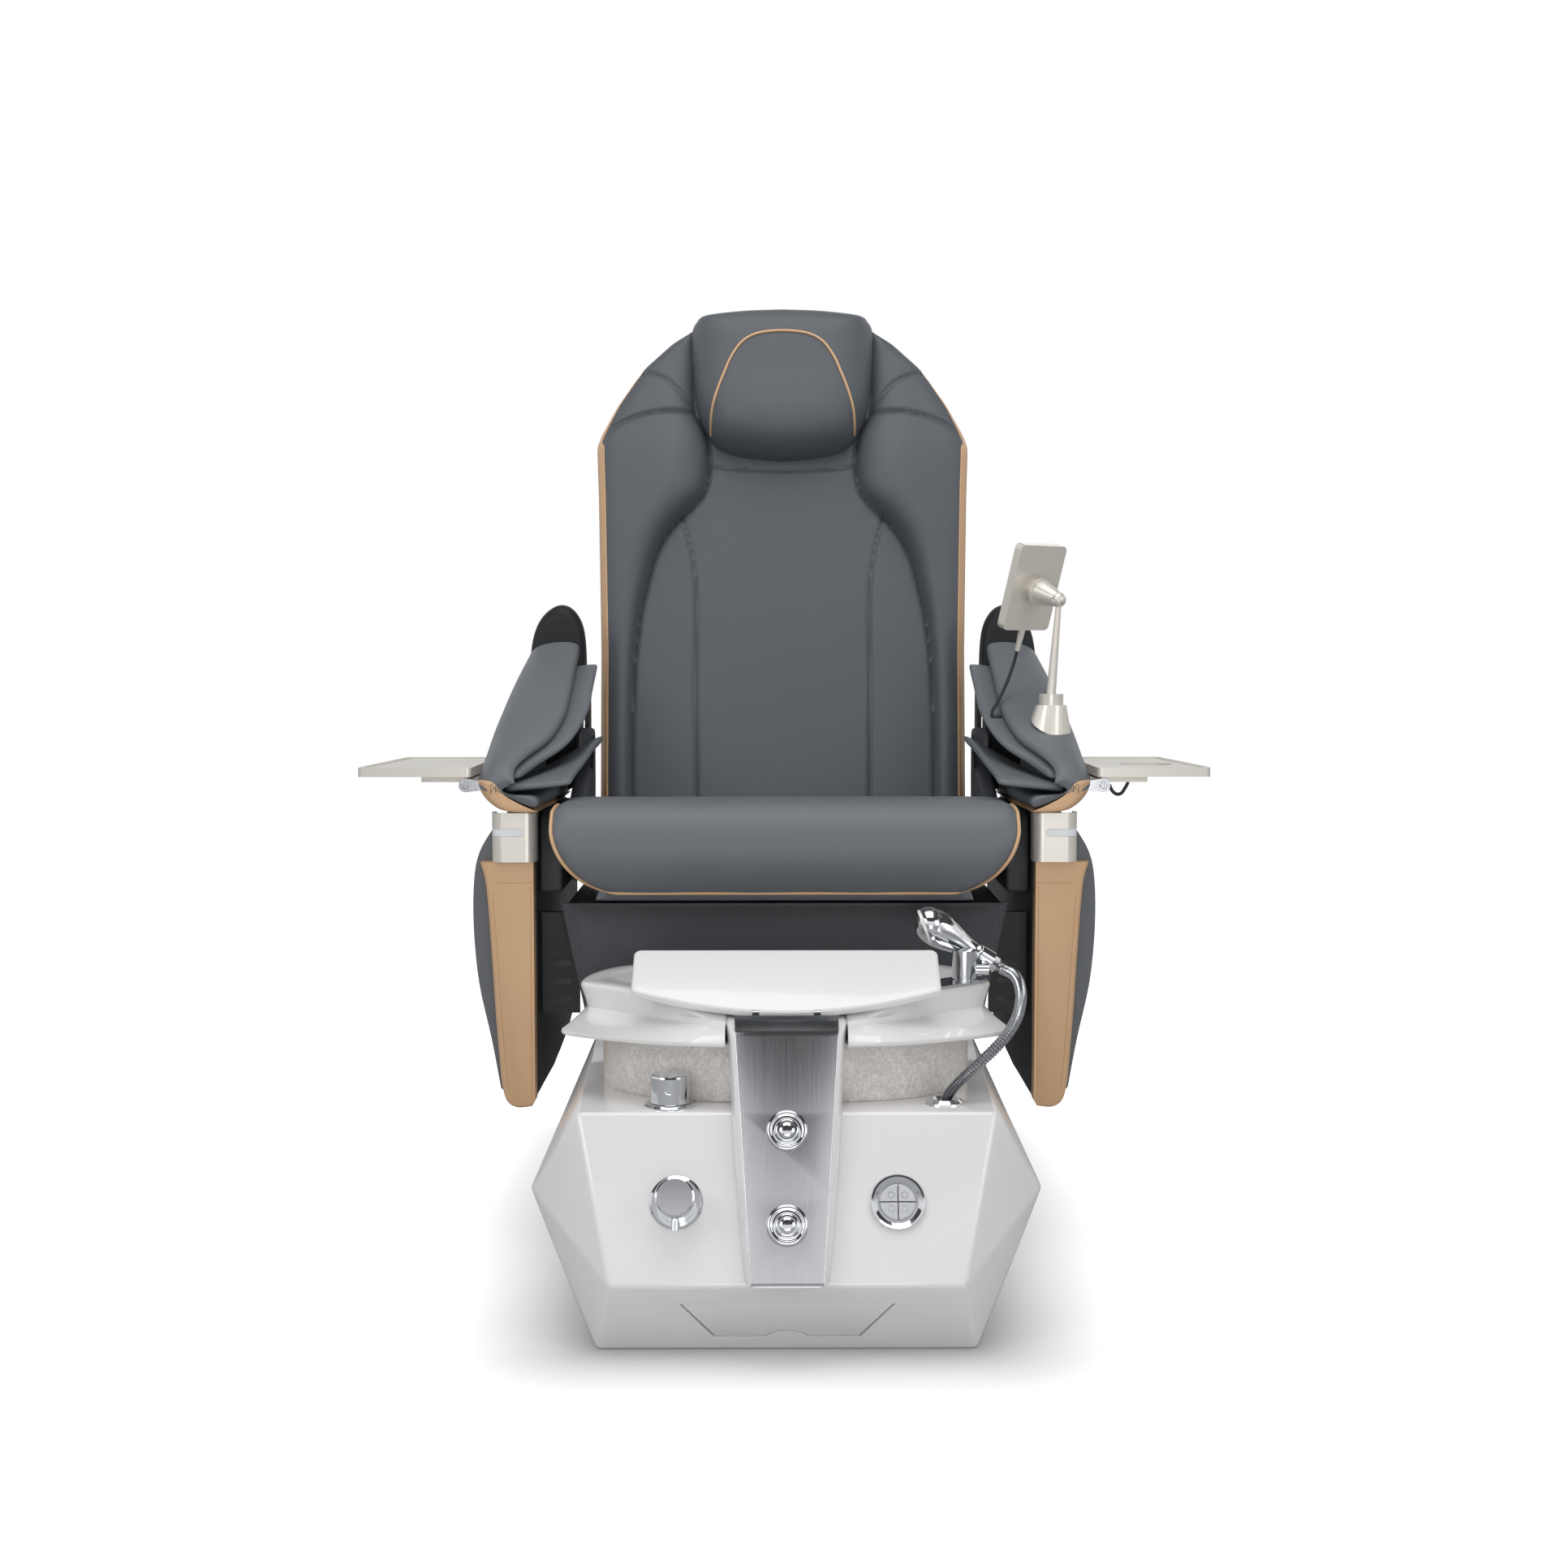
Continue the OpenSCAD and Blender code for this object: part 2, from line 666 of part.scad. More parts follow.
module knob_turned(h) {
    difference() {
        rotate_extrude($fn = 96) polygon([[0, 0], [knob_r - 0.5, 0], [knob_r, 1], [knob_r, h - 3],
            [knob_r - 1, h - 1],
            [knob_r - 3, h], [0, h]]);
        translate([0, 0, -1]) cylinder(r = spindle_r + run_gap, h = spindle_len + 1, $fn = 48);
    }
}

module mixer_knob() {
    color(chrome) translate([-mixer_side, mixer_y, deck_h + flange_t + fit_gap]) difference() {
        knob_turned(mixer_knob_h);
        translate([0, -knob_r + 2, mixer_knob_h * 0.55]) rotate([90, 0, 0]) cylinder(r = 5.5, h = 10,
            $fn = 32);
    }
}

module diverter_knob() {
    color(chrome) on_face(-control_side, -control_drop, flange_t + fit_gap) union() {
        knob_turned(diverter_knob_h);
        translate([0, -knob_r + 3, diverter_knob_h * 0.55]) rotate([90, 0, 0]) cylinder(r = 5, h = 16,
            $fn = 32);
    }
}

key_gap = 0.8;
module keypad_bezel() {
    color(chrome) on_face(control_side, -control_drop, 0.05) {
        rotate_extrude($fn = 96) polygon([[keys_r + 0.6, 0], [keypad_r, 0], [keypad_r, 3],
            [keypad_r - 1.5, 6],
            [keypad_r - 4, 6.5], [keypad_r - 6, 5], [keys_r + 3, 3], [keys_r + 0.6, 3]]);
        translate([0, 0, -10]) difference() {
            cylinder(r = keys_r + 4, h = 10, $fn = 64);
            translate([0, 0, 2]) cylinder(r = keys_r + 0.6, h = 20, $fn = 64);
        }
    }
}

// One of four quarter keys; q counts anticlockwise from the upper right.
module quarter_key(q) {
    color(dark_grey) on_face(control_side, -control_drop, 0) rotate([0, 0, 90 * (q - 1)]) intersection() {
        rotate_extrude($fn = 96) polygon([[0, -5], [keys_r, -5], [keys_r, 3.5], [keys_r - 2, 5], [4, 5.6],
            [0, 5.6]]);
        translate([key_gap, key_gap, -6]) cube([keys_r + 5, keys_r + 5, 20]);
    }
}
module key_1() { quarter_key(1); }
module key_2() { quarter_key(2); }
module key_3() { quarter_key(3); }
module key_4() { quarter_key(4); }

// ---------------------------------------------------------------- footrest

// The hinge lies inside the nose of the board, just behind the column's top edge.
pivot_y = column_front_y + 45.8;
pivot_h = column_h + 17.5;
pivot_depth = 5.35;
board_front = 9.8;
board_sag = 46;
ear_x = 35;
ear_w = 7;

module on_board() {
    translate([0, pivot_y, pivot_h]) rotate([board_slope, 0, 0]) translate([0, 0, -pivot_depth]) children();
}

module board_outline() {
    steps = 24;
    rear = board_deep - board_front;
    arc = [for (i = [0:steps]) let (x = board_half * (2 * i / steps - 1)) [x,
        -board_front + board_sag * pow(x / board_half, 2)]];
    offset(r = 10, $fn = 32) offset(r = -10) polygon(concat(arc, [[board_half, rear], [-board_half,
        rear]]));
}

// The front edge is rounded about its pin, so that it clears the column's top as the board flips.
module nose_cut() {
    nose_r = (pivot_h - column_top(pivot_y)) * cos(top_slope) - fit_gap;
    translate([0, pivot_y, pivot_h]) rotate([board_slope, 0, 0]) difference() {
        translate([-100, -30, -20]) cube([200, 30, 40]);
        rotate([0, 90, 0]) cylinder(r = nose_r, h = 220, center = true, $fn = 72);
    }
}

module footrest() {
    color(white) difference() {
        on_board() hull() {
            translate([0, 0, 3]) linear_extrude(board_t - 5) board_outline();
            linear_extrude(board_t) offset(r = -4) board_outline();
        }
        nose_cut();
        translate([-60, pivot_y, pivot_h]) rotate([0, 90, 0]) cylinder(r = board_pin_r + run_gap, h = 120,
            $fn = 48);
        for (s = [-1, 1]) on_board() translate([s * (ear_x + ear_w / 2) - ear_w / 2 - 1, -30, -1])
            cube([ear_w + 2, 30 + 5.2, pivot_depth + 6]);
    }
}

// Height of the column's sloping top, and of the board's underside, at a given y.
function column_top(y) = column_h + (y - column_front_y) * tan(top_slope);
function board_under(y) = pivot_h - pivot_depth / cos(board_slope) + (y - pivot_y) * tan(board_slope);

module footrest_hinge() {
    foot = 0.1;
    color(chrome) union() {
        translate([-46, pivot_y, pivot_h]) rotate([0, 90, 0]) cylinder(r = board_pin_r, h = 92, $fn = 48);
        for (s = [-1, 1]) translate([s * (ear_x + ear_w / 2) - ear_w / 2, pivot_y, 0]) {
            translate([0, 0, pivot_h]) rotate([0, 90, 0]) cylinder(r = board_pin_r + 1.8, h = ear_w,
                $fn = 48);
            rotate([90, 0, 90]) linear_extrude(ear_w) polygon([[-4.2, column_top(pivot_y - 4.2) + foot],
                [36, column_top(pivot_y + 36) + foot], [36, column_top(pivot_y + 36) + 3], [4.2,
                    column_top(pivot_y + 4.2) + 3],
                [4.2, pivot_h], [-4.2, pivot_h]]);
        }
        translate([-ear_x - ear_w, 0, 0]) rotate([90, 0, 90]) linear_extrude(2 * ear_x + 2 * ear_w)
            polygon([[pivot_y + 16, column_top(pivot_y + 16) + foot], [pivot_y + 46,
                column_top(pivot_y + 46) + foot],
                [pivot_y + 46, board_under(pivot_y + 46) - fit_gap], [pivot_y + 16,
                    board_under(pivot_y + 16) - fit_gap]]);
    }
}

// ---------------------------------------------------------------- sprayer and hose

post_x = 235;
post_y = -338;
spray_y = -308;
hose_end = [281, spray_y, deck_h + 147];
spray_tilt = 58;
clip_low = 9;
clip_high = 27;

module on_sprayer() {
    translate(hose_end) rotate([0, -spray_tilt, 0]) children();
}

module holder() {
    color(chrome) difference() {
        union() {
            translate([0, 0, rim_h + 0.1]) linear_extrude(3) offset(r = 4, $fn = 24) polygon([[160, -410],
                [196, -384], [236, -350], [260, -325], [262, -300], [236, -296], [206, -322], [170, -368]]);
            translate([post_x, post_y, rim_h + 3]) cylinder(r = post_r + 3, h = 3, $fn = 64);
            translate([post_x, post_y, rim_h + 3]) cylinder(r = post_r, h = post_h - 3, $fn = 64);
            on_sprayer() translate([0, 0, clip_low]) cylinder(r = handle_r + 3.5,
                h = clip_high - clip_low, $fn = 64);
            translate([post_x + 6, post_y, rim_h + post_h - 26]) rotate([0, 90, 0]) cylinder(r = 7,
                h = 24, $fn = 48);
            hull() {
                translate([post_x + 24, post_y, rim_h + post_h - 26]) rotate([0, 90, 0]) cylinder(r = 7,
                    h = 8, $fn = 32);
                translate([post_x + 26, spray_y - handle_r - 3, hose_end[2] + 4]) sphere(r = 4, $fn = 20);
            }
        }
        on_sprayer() translate([0, 0, -40]) cylinder(r = handle_r + fit_gap, h = 200, $fn = 64);
    }
}

module sprayer() {
    color(chrome) on_sprayer() union() {
        cylinder(r = handle_r, h = clip_high + 6, $fn = 64);
        translate([0, 0, clip_high + fit_gap]) cylinder(r = handle_r + 3, h = 5, $fn = 64);
        translate([0, 0, clip_high + 5]) cylinder(r1 = handle_r + 3, r2 = handle_r - 1.5, h = 12, $fn = 64);
        translate([0, 0, clip_high + 14]) cylinder(r1 = handle_r - 1.5, r2 = handle_r + 1, h = 40,
            $fn = 64);
        translate([0, 0, handle_len]) rotate([0, -head_turn, 0]) translate([0, 0, -8]) difference() {
            rotate_extrude($fn = 64) polygon([[0, 0], [head_r, 0], [head_r, 8], [head_r - 3, 16],
                [head_r - 10, 23], [0, 25]]);
            translate([0, 0, -0.1]) cylinder(r = head_r - 4 + fit_gap, h = 4, $fn = 64);
        }
    }
}

head_turn = -128;
module sprayer_face() {
    color(white) on_sprayer() translate([0, 0, handle_len]) rotate([0, -head_turn, 0]) translate([0, 0,
        -8]) difference() {
        union() {
            translate([0, 0, -4]) cylinder(r = head_r - 1, h = 4 - fit_gap, $fn = 64);
            translate([0, 0, -1]) cylinder(r = head_r - 4, h = 4.5, $fn = 64);
        }
        for (i = [0:11]) rotate([0, 0, 30 * i]) translate([15, 0, -5]) cylinder(r = 1.4, h = 4, $fn = 13);
        translate([0, 0, -5]) cylinder(r = 4, h = 3, $fn = 32);
    }
}

grommet_x = 198;
grommet_y = -486;
grommet_hole_r = 14;
grommet_depth = 22;
module hose_grommet() {
    color(chrome) translate([grommet_x, grommet_y, deck_h]) difference() {
        union() {
            rotate_extrude($fn = 96) polygon([[0, 0], [grommet_r, 0], [grommet_r - 1, 3], [grommet_r - 6,
                7],
                [grommet_hole_r + 1, 7], [0, 7]]);
            translate([0, 0, -grommet_depth]) cylinder(r = grommet_hole_r, h = grommet_depth + 1, $fn = 64);
        }
        translate([0, 0, -grommet_depth + 3]) cylinder(r = grommet_hole_r - 2, h = 60, $fn = 64);
        translate([0, 0, 3]) cylinder(r1 = grommet_hole_r - 2, r2 = grommet_hole_r + 2, h = 5, $fn = 64);
    }
}

// Route of the hose from the cup of the grommet to the sprayer's end, in millimetres.
hose_axis = [sin(spray_tilt), 0, -cos(spray_tilt)];
hose_route = [
    [198, -486, deck_h - grommet_depth + 3], [198, -486, 276], [199, -486, 290], [206, -486, 303], [220,
        -484, 318],
    [240, -478, 335], [262, -466, 352], [282, -450, 371], [295, -432, 389], [302, -408, 407],
    [303, -380, 420], [300, -352, 427], [296, -328, 428], hose_end + hose_axis * 9,
        hose_end + hose_axis * 0.3];
rib_count = 78;
hose_bore_r = 4.5;
module hose() {
    path = spline(hose_route, 12);
    count = 2 * rib_count;
    last = len(path) - 1;
    picks = [for (i = [0:count]) path[round(i * last / count)]];
    smooth_ends = 4;
    outer = [for (i = [0:count]) ring_on(picks, i,
        i < smooth_ends || i > count - smooth_ends || i % 2 == 0 ? hose_r : hose_r - 1, 8)];
    inner = [for (i = [count:-4:0]) ring_on(picks, i, hose_bore_r, 8)];
    rings = concat(outer, inner);
    n = 8;
    m = len(rings);
    color(chrome) polyhedron(points = [for (r = rings) each r],
        faces = [for (k = [0:m - 1], i = [0:n - 1]) let (a = k * n + i, b = k * n + (i + 1) % n,
            c = ((k + 1) % m) * n + i, d = ((k + 1) % m) * n + (i + 1) % n) each [[a, c, d], [a, d, b]]]);
}

// ---------------------------------------------------------------- seat

frame_low = house_h + 6;
pan_top = seat_h - seat_t - soft_gap;
pan_bottom = pan_top - seat_pan_t;
apron_y = -117;

module apron() {
    top = pan_bottom - soft_gap;
    color(dark_grey) translate([0, apron_y, 0]) rotate([90, 0, 180]) mirror([1, 0, 0])
        linear_extrude(apron_t)
        polygon([[-apron_half, top], [apron_half, top], [apron_half - 22, deck_h + 31],
            [apron_half - 70, deck_h + 15],
            [-apron_half + 70, deck_h + 15], [-apron_half + 22, deck_h + 31]]);
}

module slide_rails() {
    color(steel) both_sides() translate([rail_side, 0, house_h]) difference() {
        translate([-rail_w / 2, -85, 0]) cube([rail_w, 600, rail_h]);
        translate([-rail_w / 2 + rail_wall, -86, rail_wall]) cube([rail_w - 2 * rail_wall, 602,
            rail_h - 2 * rail_wall]);
        translate([-rail_w / 4, -86, rail_wall]) cube([rail_w / 2, 602, rail_h]);
    }
}

upright_in = 304;
upright_t = 7;
recline_y = 335;
recline_h = 520;
recline_plate = 262;

module seat_frame() {
    runner_w = rail_w - 2 * rail_wall - 2 * fit_gap;
    runner_h = rail_h - 2 * rail_wall - 2 * fit_gap;
    beam_z = house_h + rail_h + 2;
    beam_h = pan_bottom - beam_z;
    color(black) union() {
        both_sides() {
            translate([rail_side - runner_w / 2, -70, house_h + rail_wall + fit_gap]) cube([runner_w, 420,
                runner_h]);
            translate([rail_side - rail_w / 4 + fit_gap, -70, house_h + rail_wall + fit_gap + 4])
                cube([rail_w / 2 - 2 * fit_gap, 420, beam_z - house_h - rail_wall + 4]);
            translate([rail_side - 16, -70, beam_z]) cube([32, 420, beam_h]);
            translate([upright_in, arm_pin_back - 20, beam_z]) cube([upright_t, 40, arm_pin_h - beam_z]);
            translate([upright_in, arm_pin_back, arm_pin_h]) rotate([0, 90, 0]) {
                cylinder(r = 20, h = upright_t, $fn = 64);
                cylinder(r = arm_pin_r + 6, h = arm_plate_in - fit_gap - upright_in, $fn = 64);
                cylinder(r = arm_pin_r, h = arm_plate_in + arm_plate_t + 0.4 - upright_in, $fn = 64);
            }
            translate([recline_plate, recline_y - 30, beam_z]) cube([8, 60, recline_h - beam_z]);
            translate([recline_plate, recline_y, recline_h]) rotate([0, 90, 0]) cylinder(r = 26, h = 8,
                $fn = 64);
            translate([recline_plate - 12, recline_y, recline_h]) rotate([0, 90, 0])
                cylinder(r = recline_pin_r, h = 16, $fn = 48);
            panel_bracket(beam_z, beam_h);
        }
        translate([-upright_in - upright_t, arm_pin_back - 20, beam_z])
            cube([2 * (upright_in + upright_t), 40, beam_h - 24]);
        translate([-side_in + fit_gap, -60, beam_z]) cube([2 * (side_in - fit_gap), 30, beam_h - 24]);
        translate([-recline_plate - 8, recline_y - 30, beam_z]) cube([2 * recline_plate + 16, 30,
            beam_h - 24]);
        translate([-seat_half - 12, -168, pan_bottom]) cube([2 * seat_half + 24, 392, seat_pan_t]);
    }
}

// Slotted steel plate that hangs each side panel from the frame.
module panel_bracket(z, h) {
    translate([0, -60, z]) difference() {
        union() {
            translate([296, 0, -104]) cube([side_in - fit_gap - 296, 6, 106 + h - 24]);
            translate([side_in - fit_gap - 6, 0, -104]) cube([6, 60, 106]);
        }
        for (k = [0:2]) hull() for (dx = [0, 20])
            translate([312 + dx, -1, -84 + 26 * k]) rotate([-90, 0, 0]) cylinder(r = 4, h = 8, $fn = 24);
    }
}

// The seat between the arms: drawn-in foot, crowned top.
module seat_cushion() {
    color(grey) pad(seat_half, 136, pan_top + soft_gap, seat_h, n = 7, crown = 0.86, cx = 0, cy = 86,
        shrink = 0.96);
}

// Front roll: a bolster with a full round front, its ends drawn in towards the foot.
module seat_roll() {
    steps = 10;
    h = seat_t;
    rear = -54;
    rings = [for (i = [0:steps]) let (t = i / steps, a = 180 * (t - 0.5),
        half = roll_half * (0.80 + 0.2 * pow(sin(min(t, 0.62) / 0.62 * 90), 0.9))
            * (t > 0.8 ? 1 - 0.5 * pow((t - 0.8), 2) * 2.2 : 1),
        front = -roll_reach - 64 * pow(max(cos(a), 0), 0.8))
        [for (q = oval(half, (rear - front) / 2, 6, 40, 0, (rear + front) / 2)) [q[0], q[1],
            seat_h - h + h * t]]];
    color(grey) loft(rings);
}

// Upholstered inner cheeks beside the seat.
module seat_sides() {
    color(dark_grey) both_sides() translate([side_cheek_in, 0, pan_top + soft_gap]) rotate([90, 0, 90])
        linear_extrude(20) offset(r = 14, $fn = 32) offset(r = -14)
            polygon([[-48, 0], [200, 0], [200, 235], [168, 235], [155, 178], [60, 165], [-48, 110]]);
}
side_cheek_in = 297;

// ---------------------------------------------------------------- side panels

// Section of a side panel at a given lower edge, from the inner top corner outwards.
function side_ring(y, low, out, top) = [for (p = [
    [side_in, top], [side_in, low + 14], [side_in + 6, low + 3], [side_in + 18, low], [side_in + 38,
        low + 30],
    [out - 30, low + 92], [out - 13, low + 172], [out - 3, low + 250], [out, low + 318],
    [out - 6, low + 358], [out - 24, min(low + 392, top - 20)], [out - 36, top - 8], [out - 46, top]])
        [p[0], y, p[1]]];

module side_panel(s) {
    rings = [
        side_ring(505, side_low + 62, side_out - 36, side_top - 90),
        side_ring(430, side_low + 34, side_out - 20, side_top - 40),
        side_ring(330, side_low + 14, side_out - 8, side_top - 12),
        side_ring(200, side_low + 4, side_out - 2, side_top),
        side_ring(100, side_low, side_out, side_top),
        side_ring(-40, side_low, side_out, side_top),
        side_ring(-119.6, side_low + 2, side_out - 3, side_top)];
    color(grey) on_side(s) loft(rings, fan = false);
}
module side_panel_l() { side_panel(-1); }
module side_panel_r() { side_panel(1); }

bracket_low = side_top - bracket_h;
module side_trims() {
    top = bracket_low - 0.4;
    function trim(y, k) = [for (p = [[side_in, top], [side_in, side_low + 16], [side_in + 5, side_low + 6],
        [side_in + 15, side_low + 2 + k], [side_in + 29, side_low + 20], [side_in + 44, side_low + 64],
        [side_in + 56, side_low + 134], [side_in + 61, side_low + 234], [side_in + 59, top - 30],
        [side_in + 57, top]]) [p[0] - (p[0] > side_in + 20 ? k : 0), y, p[1]]];
    color(bronze) both_sides() loft([trim(-120, 0), trim(-144, 2), trim(-150, 8)], fan = false);
}

module bracket_plan(grow) {
    offset(r = 14 + grow, $fn = 48) offset(r = -14) polygon([[side_in - 4, -110], [side_in - 4, -156],
        [side_in + 57, -156], [side_in + 61, -110]]);
}

module arm_brackets() {
    color(champagne) both_sides() difference() {
        translate([0, 0, bracket_low]) linear_extrude(bracket_h) difference() {
            bracket_plan(0);
            bracket_plan(-bracket_t);
            translate([side_in - 20, -121]) square([120, 40]);
        }
        translate([0, 0, bracket_low + bracket_h * 0.6]) led_slot(fit_gap);
    }
}

module led_slot(g) {
    hull() {
        translate([side_in + 18, -140, 0]) rotate([90, 0, 0]) cylinder(r = led_w / 2 + g, h = 30, $fn = 32);
        translate([side_in + 100, -140, -led_w / 2 - g]) cube([1, 1, led_w + 2 * g]);
        translate([side_in + 100, -170, -led_w / 2 - g]) cube([1, 1, led_w + 2 * g]);
    }
}

module led_lights() {
    color("white") both_sides() intersection() {
        translate([0, 0, bracket_low]) linear_extrude(bracket_h) difference() {
            bracket_plan(-0.4);
            bracket_plan(-bracket_t + 0.5);
            translate([side_in - 20, -123]) square([120, 40]);
        }
        translate([0, 0, bracket_low + bracket_h * 0.6]) led_slot(0);
    }
}

// ---------------------------------------------------------------- arms

arm_out = [[-164, 417], [-152, 427], [-130, 430], [-25, 424], [106, 412], [205, 398], [262, 392]];
arm_in = [[-164, 374], [-148, 381], [-103, 362], [-69, 336], [-45, 329], [0, 318], [205, 316]];
arm_top = [[-164, 674], [-152, 689], [-103, 716], [0, 770], [205, 868]];
arm_lip = [[-164, 12], [-100, 20], [205, 34]];
arm_wall = 28;
arm_low = side_top + 0.8;
arm_ledge = arm_low + 24;
arm_plate_in = 317;

function limb_in(y) = y < 0 ? 344 - 8 * (y + 164) / 164 : 336;

// Where the padded body sits in the lower shell, from the outside inwards.
arm_shell_h = [[-164, 15], [-130, 22], [-25, 40], [106, 48], [262, 48]];
function seam(y, lift) =
    let (xo = lookup(y, arm_out), sh = lookup(y, arm_shell_h))
    [for (p = [[xo + 1.5, sh], [xo - 15, sh], [xo - 21, sh * 0.7], [xo - 34, sh * 0.44], [xo - 54,
        sh * 0.22],
        [limb_in(y), 2.5]]) [p[0], y, arm_low + p[1] + lift]];

// Closed C section of an arm, its mouth towards the seat.
function arm_ring(y) =
    let (xo = lookup(y, arm_out), xi = lookup(y, arm_in), zt = lookup(y, arm_top), zu = zt - lookup(y,
        arm_lip),
        xp = xo - arm_wall, xl = limb_in(y), gap = zu - arm_ledge, h = zt - arm_low)
    concat(
        [for (p = [[xi, zt - 7], [xi + 4, zt - 2], [xi + (xo - xi) * 0.35, zt], [xi + (xo - xi) * 0.7,
            zt - 4],
            [xo - 7, zt - min(13, h * 0.2)], [xo, zt - min(28, h * 0.35)], [xo + 3, arm_low + h * 0.55]])
                [p[0], y, p[1]]],
        seam(y, fit_gap),
        [for (p = [[xl, arm_ledge - 4], [xl + 5, arm_ledge], [xp - 9, arm_ledge + 1.5],
            [xp, arm_ledge + min(12, gap * 0.4)], [xp, zu - min(12, gap * 0.4)], [xp - 4, zu], [xi + 4,
                zu]]) [p[0], y, p[1]]]);

// Both halves of the arm change shape at the same places, so that their seam stays even.
shell_stations = [262, 242, 224, 213, 206, 205, 106, 60, 0, -25, -45, -69, -103, -130, -152, -162];
arm_stations = [-164, -152, -130, -103, -69, -45, -25, 0, 60, 106, 205];

// Closed section of the domed fin behind the arm, which hides the pivot. It overhangs the pivot's plate.
function fin_ring(y, xo, zl, zt) =
    let (xi = arm_in[len(arm_in) - 1][1], xp = arm_plate_in + arm_plate_t + 0.8, h = zt - zl,
        eave = arm_pin_h + 32)
    concat(
        [for (p = [[xi, zt - 14], [xi + 7, zt - 4], [xi + 30, zt], [xo - 22, zt - 3], [xo - 7, zt - 13],
            [xo, zt - 32],
            [xo + 2, zl + h * 0.55]]) [p[0], y, p[1]]],
        y < 263 ? seam(y, fit_gap) : [for (p = [[xo, 24], [xo - 6, 10], [xo - 16, 4], [xo - 28, 1],
            [xo - 44, 0], [xp + 8, 3]])
            [p[0], y, zl + p[1]]],
        [for (t = [0.05, 0.2, 0.4, 0.6, 0.8, 1]) [xp, y, zl + (eave - zl) * t]],
        [[xi + 4, y, eave + 2]]);

module arm_body(s) {
    fin = [fin_ring(206, 398, arm_low, 874), fin_ring(213, 397, arm_low, 893), fin_ring(224, 396, arm_low,
        912),
        fin_ring(242, 394, arm_low, 922), fin_ring(262, 392, arm_low, 920), fin_ring(276, 390, 700, 910),
        fin_ring(288, 386, 735, 890), fin_ring(296, 378, 770, 862)];
    body = [for (y = arm_stations) arm_ring(y)];
    rings = concat(body, fin);
    color(grey) on_side(s) difference() {
        loft(rings, fan = false);
        if (s > 0) remote_seat() translate([0, 0, -0.2]) cylinder(r = 36, h = 60, $fn = 12);
    }
}
module arm_body_l() { arm_body(-1); }
module arm_body_r() { arm_body(1); }

// Lower shell of an arm, with the steel plate it swings on and the fixed half of the tray hinge.
function shell_ring(y) =
    let (xo = lookup(y, arm_out), xl = limb_in(y), sh = lookup(y, arm_shell_h))
    concat(seam(y, 0), [for (p = [[xl, 0], [xo - 30, 0], [xo - 17, sh * 0.25], [xo, sh * 0.55]]) [p[0], y,
        arm_low + p[1]]]);

tray_pin_x = 446;
tray_pin_h = 664;
tray_front = -150;
ear_t = 8;

// Web that carries a hinge ear: it rises from inside the shell's outer wall, clear of the padding.
module tray_ear(y) {
    seam_h = arm_low + lookup(y, arm_shell_h) - fit_gap;
    clear_x = max(lookup(y, arm_out), lookup(y + ear_t, arm_out)) + 3 + fit_gap;
    wall_x = min(lookup(y, arm_out), lookup(y + ear_t, arm_out)) - 6;
    low = min(seam_h, tray_pin_h) - 8;
    translate([wall_x, y, low]) cube([tray_pin_x - wall_x, ear_t, min(seam_h - low, 12)]);
    translate([clear_x, y, low]) cube([tray_pin_x - clear_x, ear_t, tray_pin_h + 4 - low]);
}

module arm_frame(s) {
    tray_rear_ear = tray_front + tray_len - 30;
    color(bronze) on_side(s) difference() {
        union() {
            loft([for (y = shell_stations) shell_ring(y)], fan = false, other = true);
            translate([arm_plate_in, 208, arm_low + 0.5]) cube([arm_plate_t, 54, arm_pin_h - arm_low]);
            translate([arm_plate_in, arm_pin_back, arm_pin_h]) rotate([0, 90, 0]) cylinder(r = 27,
                h = arm_plate_t, $fn = 64);
            translate([arm_plate_in, 208, arm_low + 0.5]) cube([26, 54, 2]);
            for (y = [tray_front, tray_rear_ear]) translate([tray_pin_x, y, tray_pin_h]) {
                rotate([-90, 0, 0]) cylinder(r = tray_pin_r + 5, h = ear_t, $fn = 48);
            }
            tray_ear(tray_front);
            tray_ear(tray_rear_ear);
            translate([tray_pin_x, tray_front, tray_pin_h]) rotate([-90, 0, 0])
                cylinder(r = tray_pin_r, h = tray_rear_ear - tray_front + 1, $fn = 48);
        }
        translate([arm_plate_in - 5, arm_pin_back, arm_pin_h]) rotate([0, 90, 0])
            cylinder(r = arm_pin_r + run_gap, h = 30, $fn = 64);
    }
}
module arm_frame_l() { arm_frame(-1); }
module arm_frame_r() { arm_frame(1); }

// Two airbag leaves that fold out of the C, one under the top limb and one on the lower limb.
module arm_flaps(s) {
    g = soft_gap + 0.6;
    function leaf(y, x0, z0, x1, z1) = let (d = unit([x1 - x0, z1 - z0]), nrm = [-d[1], d[0]] * flap_t / 2)
        [for (p = [[x0, z0] - nrm, [x1, z1] - nrm, [x1, z1] + nrm, [x0, z0] + nrm]) [p[0], y, p[1]]];
    lift = flap_t / 2 + g;
    color(dark_grey) on_side(s) union() {
        loft([for (q = [[150, 366, 276, 10, 58], [60, 376, 283, 8, 44], [-40, 386, 290, 6, 26], [-100,
            390, 296, 4, 14],
            [-148, 392, 300, 0, 4]]) leaf(q[0], q[1] + 0, arm_ledge + lift + q[3] * 0.4, q[2],
                arm_ledge + lift + 4 + q[4])], fan = false);
    }
}
module arm_flaps_l() { arm_flaps(-1); }
module arm_flaps_r() { arm_flaps(1); }

// ---------------------------------------------------------------- trays

